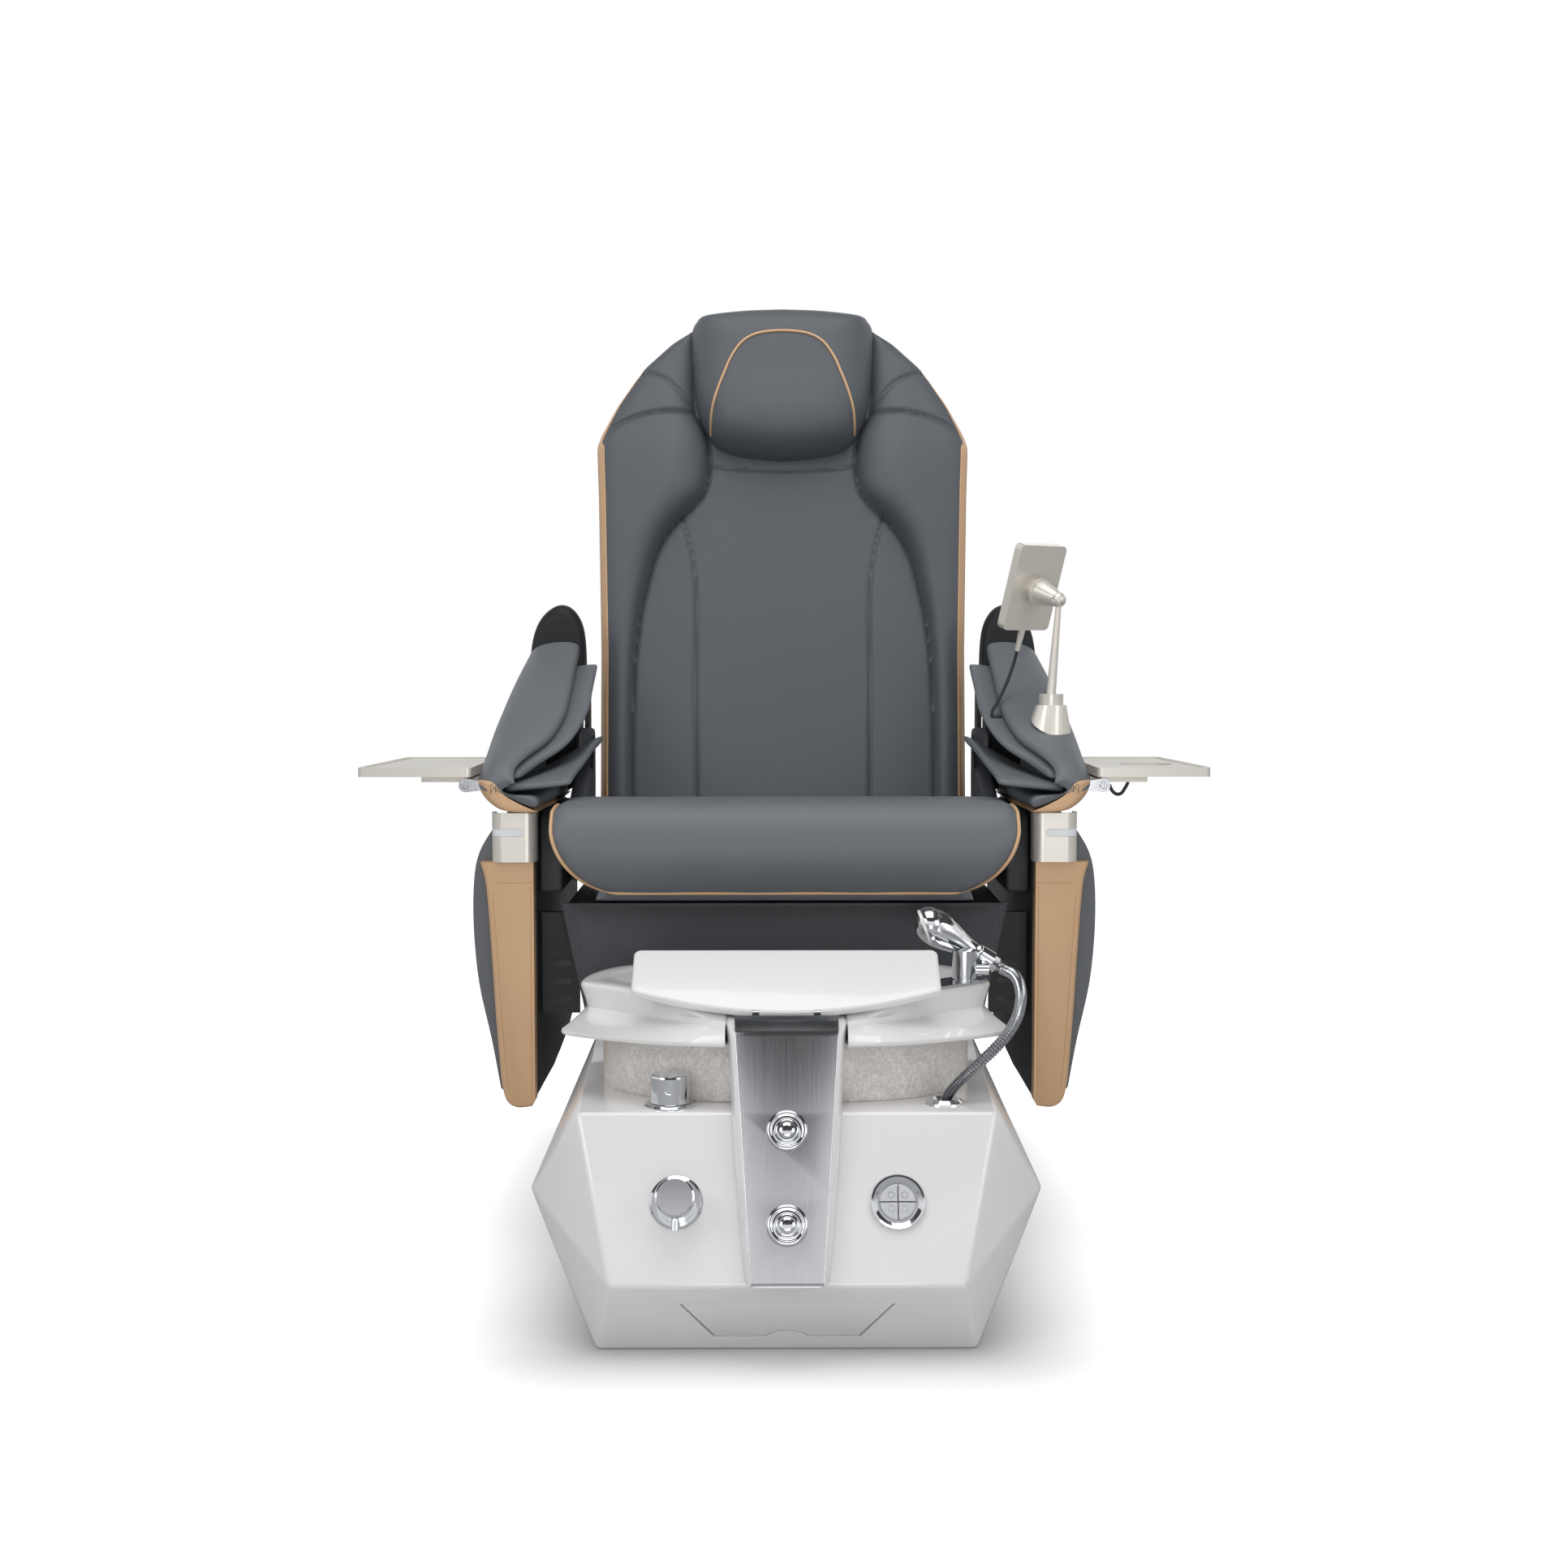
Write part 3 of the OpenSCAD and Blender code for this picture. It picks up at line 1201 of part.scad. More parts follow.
tray_in = 438;
module tray_plan(grow) {
    w = tray_w;
    offset(r = 6 + grow, $fn = 32) offset(r = -6) polygon([[tray_in, tray_front], [tray_in + w - 3,
        tray_front],
        [tray_in + w, tray_front + 30], [tray_in + w - 20, tray_front + tray_len], [tray_in,
            tray_front + tray_len]]);
}

module tray(s) {
    low = 675.5;
    y0 = tray_front + ear_t + fit_gap;
    len = tray_len - 30 - ear_t - 2 * fit_gap;
    color(champagne) on_side(s) difference() {
        union() {
            translate([0, 0, low]) linear_extrude(tray_t) tray_plan(0);
            translate([tray_pin_x, y0, tray_pin_h]) rotate([-90, 0, 0]) cylinder(r = tray_pin_r + 4.5,
                h = len, $fn = 48);
            translate([tray_pin_x - 1, y0, tray_pin_h]) cube([10.5, len, low - tray_pin_h + 1]);
            for (y = [y0 + 6, y0 + len - 12]) translate([tray_pin_x + 4, y, low - 8]) cube([60, 6, 9]);
        }
        translate([0, 0, low + tray_t - 2]) linear_extrude(3) tray_plan(-8);
        translate([tray_pin_x, y0 - 1, tray_pin_h]) rotate([-90, 0, 0]) cylinder(r = tray_pin_r + run_gap,
            h = len + 2, $fn = 48);
        if (s > 0) translate([528, -20, low + tray_t - 7]) cylinder(r = recess_r, h = 10, $fn = 64);
    }
}
module tray_l() { tray(-1); }
module tray_r() { tray(1); }

// Release strap under the right tray, a loop in millimetres.
strap_route = [[458.4, -125, 663], [462, -125, 655], [468, -125, 650], [475, -125, 651], [480, -125, 658],
    [484, -125, 666], [484, -125, 675.2]];
module tray_strap() {
    color(black) tube(spline(strap_route, 3), 2.5, 8);
}

// ---------------------------------------------------------------- backrest

back_foot_y = 233;
back_foot_h = 562;
module on_back() {
    translate([0, back_foot_y, back_foot_h]) rotate([-back_lean, 0, 0]) children();
}

// Front outline of the backrest: across and up the slope, right half from the foot to the crown.
back_half_outline = [[0, 2], [270, 2], [288, 22], [290, 300], [shoulder_half - 4, 560], [shoulder_half,
    655],
    [shoulder_half - 26, 720], [236, 788], [190, 832], [146, 856], [110, back_len - 8], [0, back_len]];
back_outline = concat(back_half_outline, [for (i = [len(back_half_outline) - 2:-1:1])
    [-back_half_outline[i][0], back_half_outline[i][1]]]);
function back_ring(y, k, drop) = [for (p = back_outline) [p[0] * k, y, 440 + (p[1] - 440) * k + drop]];

module back_cushion() {
    color(grey) on_back() loft([back_ring(back_t, 0.955, 0), back_ring(back_t - 14, 0.985, 0),
        back_ring(24, 1, 0),
        back_ring(8, 0.99, 0), back_ring(0, 0.965, 0)]);
}

// Shoulder wings: narrow along the sides, wide and full beside the neck.
wing_sections = [[26, 252, 284, 14], [110, 248, 288, 26], [240, 240, 292, 38], [360, 228, 295, 48], [440,
    208, 297, 56],
    [510, 168, 299, 64], [570, 158, 300, 68], [630, 156, 298, 64], [690, 156, 284, 50], [740, 158, 262,
        34], [780, 164, 226, 16]];
module back_wings() {
    function wing(q) = [for (i = [0:12]) let (a = 180 * i / 12)
        [(q[1] + q[2]) / 2 - (q[2] - q[1]) / 2 * sgn_pow(cos(a), 0.75), -0.5 - q[3] * pow(sin(a), 0.75),
            q[0]]];
    color(grey) on_back() both_sides() loft([for (q = wing_sections) wing(q)], fan = false);
}

module head_pillow() {
    low = back_len - pillow_len;
    outline = [[0, low], [90, low + 4], [122, low + 20], [pillow_half - 12, low + 66], [pillow_half,
        low + 150],
        [pillow_half - 2, low + 210], [pillow_half - 16, low + pillow_len - 14], [92,
            low + pillow_len - 2], [0, low + pillow_len]];
    whole_outline = concat(outline, [for (i = [len(outline) - 2:-1:1]) [-outline[i][0], outline[i][1]]]);
    mid = low + pillow_len / 2;
    function ring_at(y, k) = [for (p = whole_outline) [p[0] * k, y, mid + (p[1] - mid) * k]];
    color(grey) on_back() loft([ring_at(-soft_gap, 0.9), ring_at(-16, 1), ring_at(-pillow_t * 0.55, 0.99),
        ring_at(-pillow_t * 0.85, 0.86), ring_at(-pillow_t, 0.55)]);
}

hinge_local_y = (recline_y - back_foot_y) * cos(back_lean) - (recline_h - back_foot_h) * sin(back_lean);
hinge_local_z = (recline_y - back_foot_y) * sin(back_lean) + (recline_h - back_foot_h) * cos(back_lean);
frame_front = back_t + soft_gap;
frame_t = 40;
massage_side = 105;

module back_frame() {
    ear_in = recline_plate - 10;
    color(black) on_back() difference() {
        union() {
            both_sides() {
                translate([235, frame_front, 20]) cube([25, frame_t, 640]);
                translate([massage_side, frame_front + frame_t / 2, 40]) cylinder(r = 7, h = 600, $fn = 48);
                translate([ear_in, hinge_local_y - 22, hinge_local_z]) cube([8,
                    frame_front + frame_t - hinge_local_y + 22, 60]);
                translate([ear_in, hinge_local_y, hinge_local_z]) rotate([0, 90, 0]) cylinder(r = 22,
                    h = 8, $fn = 64);
            }
            for (z = [20, 635]) translate([-260, frame_front, z]) cube([520, frame_t, 25]);
        }
        both_sides() translate([ear_in - 5, hinge_local_y, hinge_local_z]) rotate([0, 90, 0])
            cylinder(r = recline_pin_r + run_gap, h = 20, $fn = 48);
        both_sides() translate([200, back_t - 100, 2 - soft_gap]) cube([80, 100 + soft_gap, 80]);
    }
}

module back_shell() {
    y0 = frame_front + frame_t + fit_gap;
    color(dark_grey) on_back() loft([back_ring(y0 + 34, 0.74, -10), back_ring(y0 + 26, 0.86, -4),
        back_ring(y0 + 12, 0.94, 0), back_ring(y0, 0.955, 0)]);
}

module massage_carriage() {
    color(steel) on_back() translate([0, frame_front + frame_t / 2, 70]) difference() {
        union() {
            translate([-massage_side - 16, -9, 0]) cube([2 * massage_side + 32, 18, 80]);
            for (x = [-62, 38], z = [8, 48]) translate([x, 0, z + 12]) rotate([0, 90, 0]) cylinder(r = 17,
                h = 24, $fn = 48);
        }
        for (x = [-massage_side, massage_side]) translate([x, 0, -1]) cylinder(r = 7 + run_gap, h = 90,
            $fn = 48);
    }
}

// ---------------------------------------------------------------- remote

mount_x = 386;
mount_y = -41;
mount_h = 744;
mast_foot_h = 789;
mast_lean = 4;
screen_yaw = 38;
screen_lean = 18;
mast_r = 6.8;

// Flat on top of the right arm where the remote's foot stands.
module remote_seat() {
    translate([mount_x, mount_y, mount_h]) rotate([25, 17, 0]) children();
}

module remote_mount() {
    color(champagne) difference() {
        union() {
            hull() {
                remote_seat() scale([1, 1.1, 1]) cylinder(r = 30, h = 1, $fn = 32);
                translate([mount_x, mount_y, mast_foot_h - 17]) cylinder(r = 22, h = 1, $fn = 32);
            }
            translate([mount_x, mount_y, mast_foot_h - 17]) cylinder(r = 17.5, h = 17, $fn = 64);
        }
        translate([mount_x, mount_y, mast_foot_h - 14]) cylinder(r = mast_r + run_gap, h = 20, $fn = 48);
    }
}

function mast_top() = [mount_x + mast_h * tan(mast_lean), mount_y, mast_foot_h + mast_h];
module remote_mast() {
    color(champagne) union() {
        translate([mount_x, mount_y, mast_foot_h - 13.7]) cylinder(r = mast_r, h = 16, $fn = 48);
        hull() {
            translate([mount_x, mount_y, mast_foot_h + 1]) cylinder(r = mast_r, h = 1, $fn = 32);
            translate(mast_top() - [0, 0, 9]) cylinder(r = 4, h = 1, $fn = 32);
        }
        translate(mast_top()) rotate([0, 0, screen_yaw]) {
            translate([-10, 0, 0]) rotate([0, 90, 0]) cylinder(r = 4, h = 20, $fn = 48);
            translate([0, 0, -9]) cylinder(r = 4, h = 9, $fn = 32);
            translate([-4, -4, -10]) cube([8, 8, 10]);
        }
    }
}

module on_screen() {
    translate(mast_top()) rotate([screen_lean, 0, screen_yaw]) children();
}

// Remote with its knuckle. Local +y is the way the screen faces.
module remote_head() {
    color(champagne) on_screen() difference() {
        union() {
            translate([0, 50 + remote_t / 2, 2]) rotate([90, 0, 0]) linear_extrude(remote_t, center = true)
                offset(r = 8, $fn = 32) square([remote_w - 16, remote_len - 16], center = true);
            translate([0, 2, 0]) rotate([-90, 0, 0]) cylinder(r1 = 11, r2 = 19, h = 36, $fn = 64);
            translate([0, 36, 0]) rotate([-90, 0, 0]) cylinder(r = 21, h = 4, $fn = 64);
            translate([0, 38, 0]) rotate([-90, 0, 0]) cylinder(r = 16, h = 13, $fn = 64);
            sphere(r = 11, $fn = 48);
            translate([0, 50 + remote_t / 2, -remote_len / 2 - 32]) cylinder(r1 = 3.6, r2 = 5.4, h = 36,
                $fn = 32);
        }
        translate([-15, 0, 0]) rotate([0, 90, 0]) cylinder(r = 4 + run_gap, h = 30, $fn = 48);
        rotate([-25, 0, 0]) translate([-4.6, -6, -30]) cube([9.2, 13, 30]);
        rotate([5, 0, 0]) translate([-4.6, -7, -30]) cube([9.2, 13, 30]);
        rotate([-50, 0, 0]) translate([-4.6, -6, -30]) cube([9.2, 12, 30]);
    }
}

cable_route = [[343.8, 25.2, 851], [342.3, 27.1, 843.4], [338, 28, 828], [329, 25, 804], [316, 16, 778],
    [307, 12, 764],
    [306, 10, 756], [311, 10, 753.9], [319.6, 10, 756.4]];
module remote_cable() {
    color(black) tube(spline(cable_route, 3), cable_r, 8);
}

// ---------------------------------------------------------------- build

floor_pan();
base_shell();
access_panel();
column();
fascia();
button_bezels();
drain_button();
jet_button();
valve_flanges();
mixer_knob();
diverter_knob();
keypad_bezel();
key_1();
key_2();
key_3();
key_4();
hose_grommet();
hose();
bowl_band();
tub();
drain_strainer();
jet_motor();
jet_impeller();
jet_cover();
footrest_hinge();
footrest();
holder();
sprayer();
sprayer_face();
drain_pump();
apron();
slide_rails();
seat_frame();
seat_cushion();
seat_roll();
seat_sides();
side_panel_l();
side_panel_r();
side_trims();
arm_brackets();
led_lights();
arm_frame_l();
arm_frame_r();
arm_body_l();
arm_body_r();
arm_flaps_l();
arm_flaps_r();
tray_l();
tray_r();
tray_strap();
remote_mount();
remote_mast();
remote_head();
remote_cable();
back_frame();
back_shell();
back_cushion();
back_wings();
head_pillow();
massage_carriage();
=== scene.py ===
import bmesh
import bpy
import math
from mathutils import Matrix, Vector


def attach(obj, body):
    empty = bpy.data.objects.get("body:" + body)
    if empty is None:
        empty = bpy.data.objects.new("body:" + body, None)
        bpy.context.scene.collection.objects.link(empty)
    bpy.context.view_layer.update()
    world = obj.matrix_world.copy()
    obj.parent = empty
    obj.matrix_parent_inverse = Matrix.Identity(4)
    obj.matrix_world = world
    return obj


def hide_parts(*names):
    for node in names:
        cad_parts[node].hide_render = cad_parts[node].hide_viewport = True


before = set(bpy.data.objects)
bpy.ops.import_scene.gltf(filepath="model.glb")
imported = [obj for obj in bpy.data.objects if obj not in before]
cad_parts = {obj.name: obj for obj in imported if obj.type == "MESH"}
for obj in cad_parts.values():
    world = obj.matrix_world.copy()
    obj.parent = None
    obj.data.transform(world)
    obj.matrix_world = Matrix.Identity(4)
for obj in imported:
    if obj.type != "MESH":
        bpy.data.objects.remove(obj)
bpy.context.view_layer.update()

# ---------------------------------------------------------------- camera, floor and studio light
# The chair stands on a pale painted floor. It is seen from the front, from just above the trays, and is lit
# by soft boxes: two beside the camera, one low before it, one overhead and a faint one behind the back.

scene = bpy.context.scene
camera = bpy.data.objects.new("camera", bpy.data.cameras.new("camera"))
camera.data.lens = 48.4
camera.data.sensor_width = 36
camera.location = (-0.019, -3.090, 0.856)
camera.rotation_euler = (math.radians(90 - 3.7), 0, math.radians(-0.35))
scene.collection.objects.link(camera)
scene.camera = camera
scene.view_settings.view_transform = "Standard"


def linear(hex_colour):
    """An sRGB hex colour as the linear RGBA that a socket takes."""
    parts = [int(hex_colour[i:i + 2], 16) / 255 for i in (1, 3, 5)]
    return [c / 12.92 if c <= 0.04045 else ((c + 0.055) / 1.055) ** 2.4 for c in parts] + [1.0]


def add(tree, kind, inputs=None, **settings):
    """Adds a node. An input is a value, or the socket that feeds it."""
    made = tree.nodes.new(kind)
    for key, value in settings.items():
        setattr(made, key, value)
    for key, value in (inputs or {}).items():
        if isinstance(value, bpy.types.NodeSocket):
            tree.links.new(value, made.inputs[key])
        else:
            made.inputs[key].default_value = value
    return made


def new_material(name):
    """An empty material: its tree, its surface shader and its object coordinates."""
    material = bpy.data.materials.new(name)
    material.use_nodes = True
    tree = material.node_tree
    tree.nodes.clear()
    shader = add(tree, "ShaderNodeBsdfPrincipled")
    add(tree, "ShaderNodeOutputMaterial", {"Surface": shader.outputs["BSDF"]})
    place = add(tree, "ShaderNodeTexCoord")
    return material, tree, shader, place.outputs["Object"]


def area_light(name, place, aim, size, power):
    """A square white soft box that faces its aim."""
    data = bpy.data.lights.new(name, "AREA")
    data.size = size
    data.energy = power
    light = bpy.data.objects.new(name, data)
    light.location = place
    light.rotation_euler = (Vector(aim) - Vector(place)).to_track_quat("-Z", "Y").to_euler()
    scene.collection.objects.link(light)


area_light("key", (-2.5, -2.5, 2.3), (0, -0.1, 0.6), 1.6, 21)
area_light("fill", (2.6, -2.4, 1.9), (0, 0, 0.6), 1.6, 14)
area_light("low", (0.1, -3.3, 0.25), (0, 0, 0.8), 1.5, 20)
area_light("overhead", (0, -0.7, 3.1), (0, -0.2, 0.5), 2.2, 34)
area_light("rim", (0.2, 2.8, 2.4), (0, 0.3, 0.9), 1.6, 4)

# The room is even and white, but shiny parts mirror a bright wall of soft boxes under a dark ceiling.
world = bpy.data.worlds.new("studio")
world.use_nodes = True
tree = world.node_tree
tree.nodes.clear()
view = add(tree, "ShaderNodeTexCoord")
height = add(tree, "ShaderNodeSeparateXYZ", {"Vector": view.outputs["Generated"]})
boxes = add(tree, "ShaderNodeValToRGB", {"Fac": height.outputs["Z"]})
ramp = boxes.color_ramp.elements
ramp[0].color = (0.42, 0.42, 0.43, 1)
ramp[1].color = (0.30, 0.30, 0.31, 1)
for position, level in ((0.16, 0.6), (0.3, 0.95), (0.525, 1.0), (0.57, 0.07), (0.8, 0.07)):
    ramp.new(position).color = (level, level, level * 1.01, 1)
ray = add(tree, "ShaderNodeLightPath")
even = add(tree, "ShaderNodeMix", {"Factor": ray.outputs["Is Camera Ray"], "A": (0.46, 0.465, 0.475, 1),
                                   "B": (1, 1, 1, 1)}, data_type="RGBA")
both = add(tree, "ShaderNodeMix", {"Factor": ray.outputs["Is Glossy Ray"], "A": even.outputs["Result"],
                                   "B": boxes.outputs["Color"]}, data_type="RGBA")
sky = add(tree, "ShaderNodeBackground", {"Color": both.outputs["Result"]})
add(tree, "ShaderNodeOutputWorld", {"Surface": sky.outputs["Background"]})
scene.world = world

# Painted studio floor: pale and matt. Seen from the camera it glows, and the glow is dimmed round the chair's
# foot:
# a painted shadow there, laid over the real soft shadow.
floor_paint, tree, shader, place = new_material("matt_floor_paint")
shader.inputs["Base Color"].default_value = linear("#bdbdbe")
shader.inputs["Roughness"].default_value = 0.9
shader.inputs["Emission Color"].default_value = linear("#ffffff")
mirrored = add(tree, "ShaderNodeVectorMath", {0: place}, operation="ABSOLUTE")
foot_corner = (0.232, 0.562, 0)
outside = add(tree, "ShaderNodeVectorMath", {0: mirrored.outputs["Vector"], 1: foot_corner},
              operation="SUBTRACT")
beyond = add(tree, "ShaderNodeVectorMath", {0: outside.outputs["Vector"], 1: (0, 0, 0)}, operation="MAXIMUM")
apart = add(tree, "ShaderNodeVectorMath", {0: beyond.outputs["Vector"]}, operation="LENGTH")
# The glow fades towards the foot's outline, which paints a shadow round the foot.
painted_shadow_glow = add(tree, "ShaderNodeMapRange", {"Value": apart.outputs["Value"], "From Min": 0.0, "From Max": 0.26,
                                       "To Min": 0.05, "To Max": 0.9})
seen = add(tree, "ShaderNodeLightPath")
glow = add(tree, "ShaderNodeMath", {0: painted_shadow_glow.outputs["Result"], 1: seen.outputs["Is Camera Ray"]},
           operation="MULTIPLY")
tree.links.new(glow.outputs["Value"], shader.inputs["Emission Strength"])
mesh = bpy.data.meshes.new("floor")
mesh.from_pydata([(-14, -14, 0), (14, -14, 0), (14, 14, 0), (-14, 14, 0)], [], [(0, 1, 2, 3)])
mesh.materials.append(floor_paint)
floor = bpy.data.objects.new("floor", mesh)
scene.collection.objects.link(floor)

# ---------------------------------------------------------------- hose, remote cable and tray strap
# The sprayer's hose is a ribbed metal spiral over a rubber core. It rises out of the deck and screws on
# under the handle. The remote's lead is thin and limp, and the tray's pull strap is a stiff loop of cord.


def spline(points, steps):
    """A smooth curve through the points, with that many steps between each pair."""
    points = [Vector(p) for p in points]
    out = []
    for i in range(len(points) - 1):
        a, b, c, d = (points[min(max(j, 0), len(points) - 1)] for j in (i - 1, i, i + 1, i + 2))
        for k in range(steps):
            t = k / steps
            out.append(0.5 * (2 * b + (c - a) * t + (2 * a - 5 * b + 4 * c - d) * t * t
                              + (3 * b - a - 3 * c + d) * t ** 3))
    return out + [points[-1]]


def show(name, mesh, material, angle=40):
    """Puts a finished mesh in the scene: smooth, with edges sharper than the angle kept."""
    mesh.materials.clear()
    mesh.materials.append(material)
    mesh.shade_smooth()
    mesh.set_sharp_from_angle(angle=math.radians(angle))
    piece = bpy.data.objects.new(name, mesh)
    scene.collection.objects.link(piece)
    return piece


def fit(piece, slot, body, *nodes, fill=None):
    """Hides the nodes that a piece stands for and puts the piece on its body. The slot and fill are not used.
    """
    if nodes:
        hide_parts(*nodes)
    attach(piece, body)


def mesh_from(name, points, faces):
    """A mesh from points in millimetres."""
    mesh = bpy.data.meshes.new(name)
    mesh.from_pydata([(x * 0.001, y * 0.001, z * 0.001) for x, y, z in points], [], faces)
    mesh.update()
    return mesh


def loft(name, rings, close=False, flat=False):
    """Joins rings of equal length into a skin. Rings run anticlockwise seen from the last ring.

    The ends are closed by fans, or by one flat face each, or the last ring joins the first.
    """
    n = len(rings[0])
    points = [tuple(p) for ring in rings for p in ring]
    last = len(rings) if close else len(rings) - 1
    total = len(points)
    faces = [(k * n + i, k * n + (i + 1) % n, ((k + 1) * n + (i + 1) % n) % total, ((k + 1) * n + i) % total)
             for k in range(last) for i in range(n)]
    if flat:
        faces += [tuple(reversed(range(n))), tuple(range(total - n, total))]
    elif not close:
        for ring, order in ((0, -1), (len(rings) - 1, 1)):
            middle = sum((Vector(p) for p in rings[ring]), Vector()) / n
            points.append(tuple(middle))
            for i in range(n):
                edge = (ring * n + i, ring * n + (i + 1) % n)
                faces.append((edge[::order][0], edge[::order][1], len(points) - 1))
    return mesh_from(name, points, faces)


def cross_rings(path, radius, sides):
    """Circles square to a path. radius is a number, or a function of the ring's index."""
    path = [Vector(p) for p in path]
    rings = []
    side = None
    for k, point in enumerate(path):
        ahead = (path[min(k + 1, len(path) - 1)] - path[max(k - 1, 0)]).normalized()
        if side is None:
            side = ahead.cross(Vector((0, 1, 0)) if abs(ahead.y) < 0.9 else Vector((1, 0, 0))).normalized()
        side = (side - ahead * side.dot(ahead)).normalized()
        up = ahead.cross(side)
        r = radius(k) if callable(radius) else radius
        angles = [2 * math.pi * i / sides for i in range(sides)]
        rings.append([point + r * (side * math.cos(a) + up * math.sin(a)) for a in angles])
    return rings


def route_length(path):
    """The length of a path, from millimetres to metres."""
    return sum((b - a).length for a, b in zip(path, path[1:])) * 0.001


def mottled(name, first, second, scale, roughness, detail=2.0):
    """A plain material whose colour drifts between two tones, with that many patches to the metre."""
    material, tree, shader, place = new_material(name)
    noise = add(tree, "ShaderNodeTexNoise", {"Vector": place, "Scale": scale, "Detail": detail})
    tint = add(tree, "ShaderNodeMix", {"Factor": noise.outputs["Fac"], "A": linear(first),
                                       "B": linear(second)}, data_type="RGBA")
    tree.links.new(tint.outputs["Result"], shader.inputs["Base Color"])
    shader.inputs["Roughness"].default_value = roughness
    return material, tree, shader, place


# Spiral-wound stainless hose: its tone drifts at random between dark and bright steel.
hose_steel, tree, shader, place = mottled("spiral_stainless_hose", "#85878b", "#bcbec1", 260.0, 0.22)
shader.inputs["Metallic"].default_value = 1.0

tilt = math.radians(58)
handle_up = Vector((-math.sin(tilt), 0, math.cos(tilt)))
handle_end = Vector((281, -308, 434))
hose_route = [(198, -486, 268), (198, -486, 276), (199, -486, 290), (206, -486, 303), (220, -484, 318),
              (240, -478, 335), (262, -466, 352), (282, -450, 371), (295, -432, 389), (302, -408, 407),
              (303, -380, 420), (300, -352, 427), (296, -328, 428), handle_end - handle_up * 9,
              handle_end - handle_up * 0.3]
path = spline(hose_route, 28)
hose_bare = 9
rib_dip = (0.0, 0.9, 1.9, 0.9)


def hose_radius(k):
    """Ferrules at both ends, and a rounded turn every four rings between them."""
    if k < hose_bare or k > len(path) - 1 - hose_bare:
        return 7.5
    return 7.5 - rib_dip[k % 4]


hose = show("hose_spiral", loft("hose_spiral", cross_rings(path, hose_radius, 20)), hose_steel, 60)
fit(hose, "hose_metal", "base", "hose")
route_length(path)

# Black cable jacket: flexible PVC with a soft, slightly dusty sheen.
cable_jacket = mottled("pvc_cable_jacket", "#141518", "#26272b", 420.0, 0.42, detail=3.0)[0]
path = spline([(343.8, 25.2, 851), (342.3, 27.1, 843.4), (338, 28, 828), (329, 25, 804), (316, 16, 778),
               (307, 12, 764), (306, 10, 756), (311, 10, 753.9), (319.6, 10, 756.4)], 8)
cable = show("remote_lead", loft("remote_lead", cross_rings(path, 2.4, 14)), cable_jacket, 60)
fit(cable, "black_rubber", "arm_right", "remote_cable")
route_length(path)

path = spline([(458.4, -125, 663), (462, -125, 655), (468, -125, 650), (475, -125, 651), (480, -125, 658),
               (484, -125, 666), (484, -125, 675.2)], 8)
strap = show("tray_pull_strap", loft("tray_pull_strap", cross_rings(path, 2.5, 14)), cable_jacket, 60)
fit(strap, "black_fabric", "arm_right", "tray_strap")
route_length(path)

# ---------------------------------------------------------------- base moulding
# The base is a faceted tub-shaped moulding in gloss white acrylic over glass fibre, with softened edges.
# A black pan closes it underneath, and a lift-out panel in the toe gives access to the pump.


def finished(name, mesh, *modifiers):
    """Runs modifiers on a mesh and gives back the plain result. Each is (kind, {settings})."""
    piece = bpy.data.objects.new(name, mesh)
    scene.collection.objects.link(piece)
    for number, (kind, settings) in enumerate(modifiers):
        modifier = piece.modifiers.new(str(number), kind)
        for key, value in settings.items():
            setattr(modifier, key, value)
    result = bpy.data.meshes.new_from_object(piece.evaluated_get(bpy.context.evaluated_depsgraph_get()))
    result.name = name
    bpy.data.objects.remove(piece)
    return result


def bevel(width, segments, degrees):
    """Settings of a bevel, in metres, on the edges that are sharper than an angle."""
    return {"width": width, "segments": segments, "limit_method": "ANGLE",
            "angle_limit": math.radians(degrees)}


def mirror_list(points):
    """The points and their mirror images on the other side."""
    return points + [(-x, y, z) for x, y, z in points]


def hull(name, points):
    """The convex skin round some points, in millimetres, with coplanar faces merged."""
    bm = bmesh.new()
    for x, y, z in points:
        bm.verts.new((x * 0.001, y * 0.001, z * 0.001))
    made = bmesh.ops.convex_hull(bm, input=bm.verts)
    spare = [g for g in made["geom_interior"] if isinstance(g, bmesh.types.BMVert)]
    bmesh.ops.delete(bm, geom=spare, context="VERTS")
    bmesh.ops.dissolve_limit(bm, angle_limit=math.radians(1.5), verts=bm.verts, edges=bm.edges)
    mesh = bpy.data.meshes.new(name)
    bm.to_mesh(mesh)
    bm.free()
    return mesh


def prism(name, outline, low, high):
    """A straight block over a plan outline that runs anticlockwise, in millimetres."""
    n = len(outline)
    points = [(x, y, low) for x, y in outline] + [(x, y, high) for x, y in outline]
    faces = [tuple(range(n - 1, -1, -1)), tuple(range(n, 2 * n))]
    faces += [(i, (i + 1) % n, n + (i + 1) % n, n + i) for i in range(n)]
    return mesh_from(name, points, faces)


def turned(mesh, turn, move):
    """Turns a mesh about the origin and moves it, in millimetres."""
    mesh.transform(Matrix.Translation(Vector(move) * 0.001) @ turn)
    return mesh


def oval(half_w, half_d, power, steps, cx=0, cy=0):
    """An oval outline, squarer with a higher power."""
    out = []
    for i in range(steps):
        a = 2 * math.pi * i / steps
        c, s = math.cos(a), math.sin(a)
        out.append((cx + half_w * math.copysign(abs(c) ** (2 / power), c),
                    cy + half_d * math.copysign(abs(s) ** (2 / power), s)))
    return out


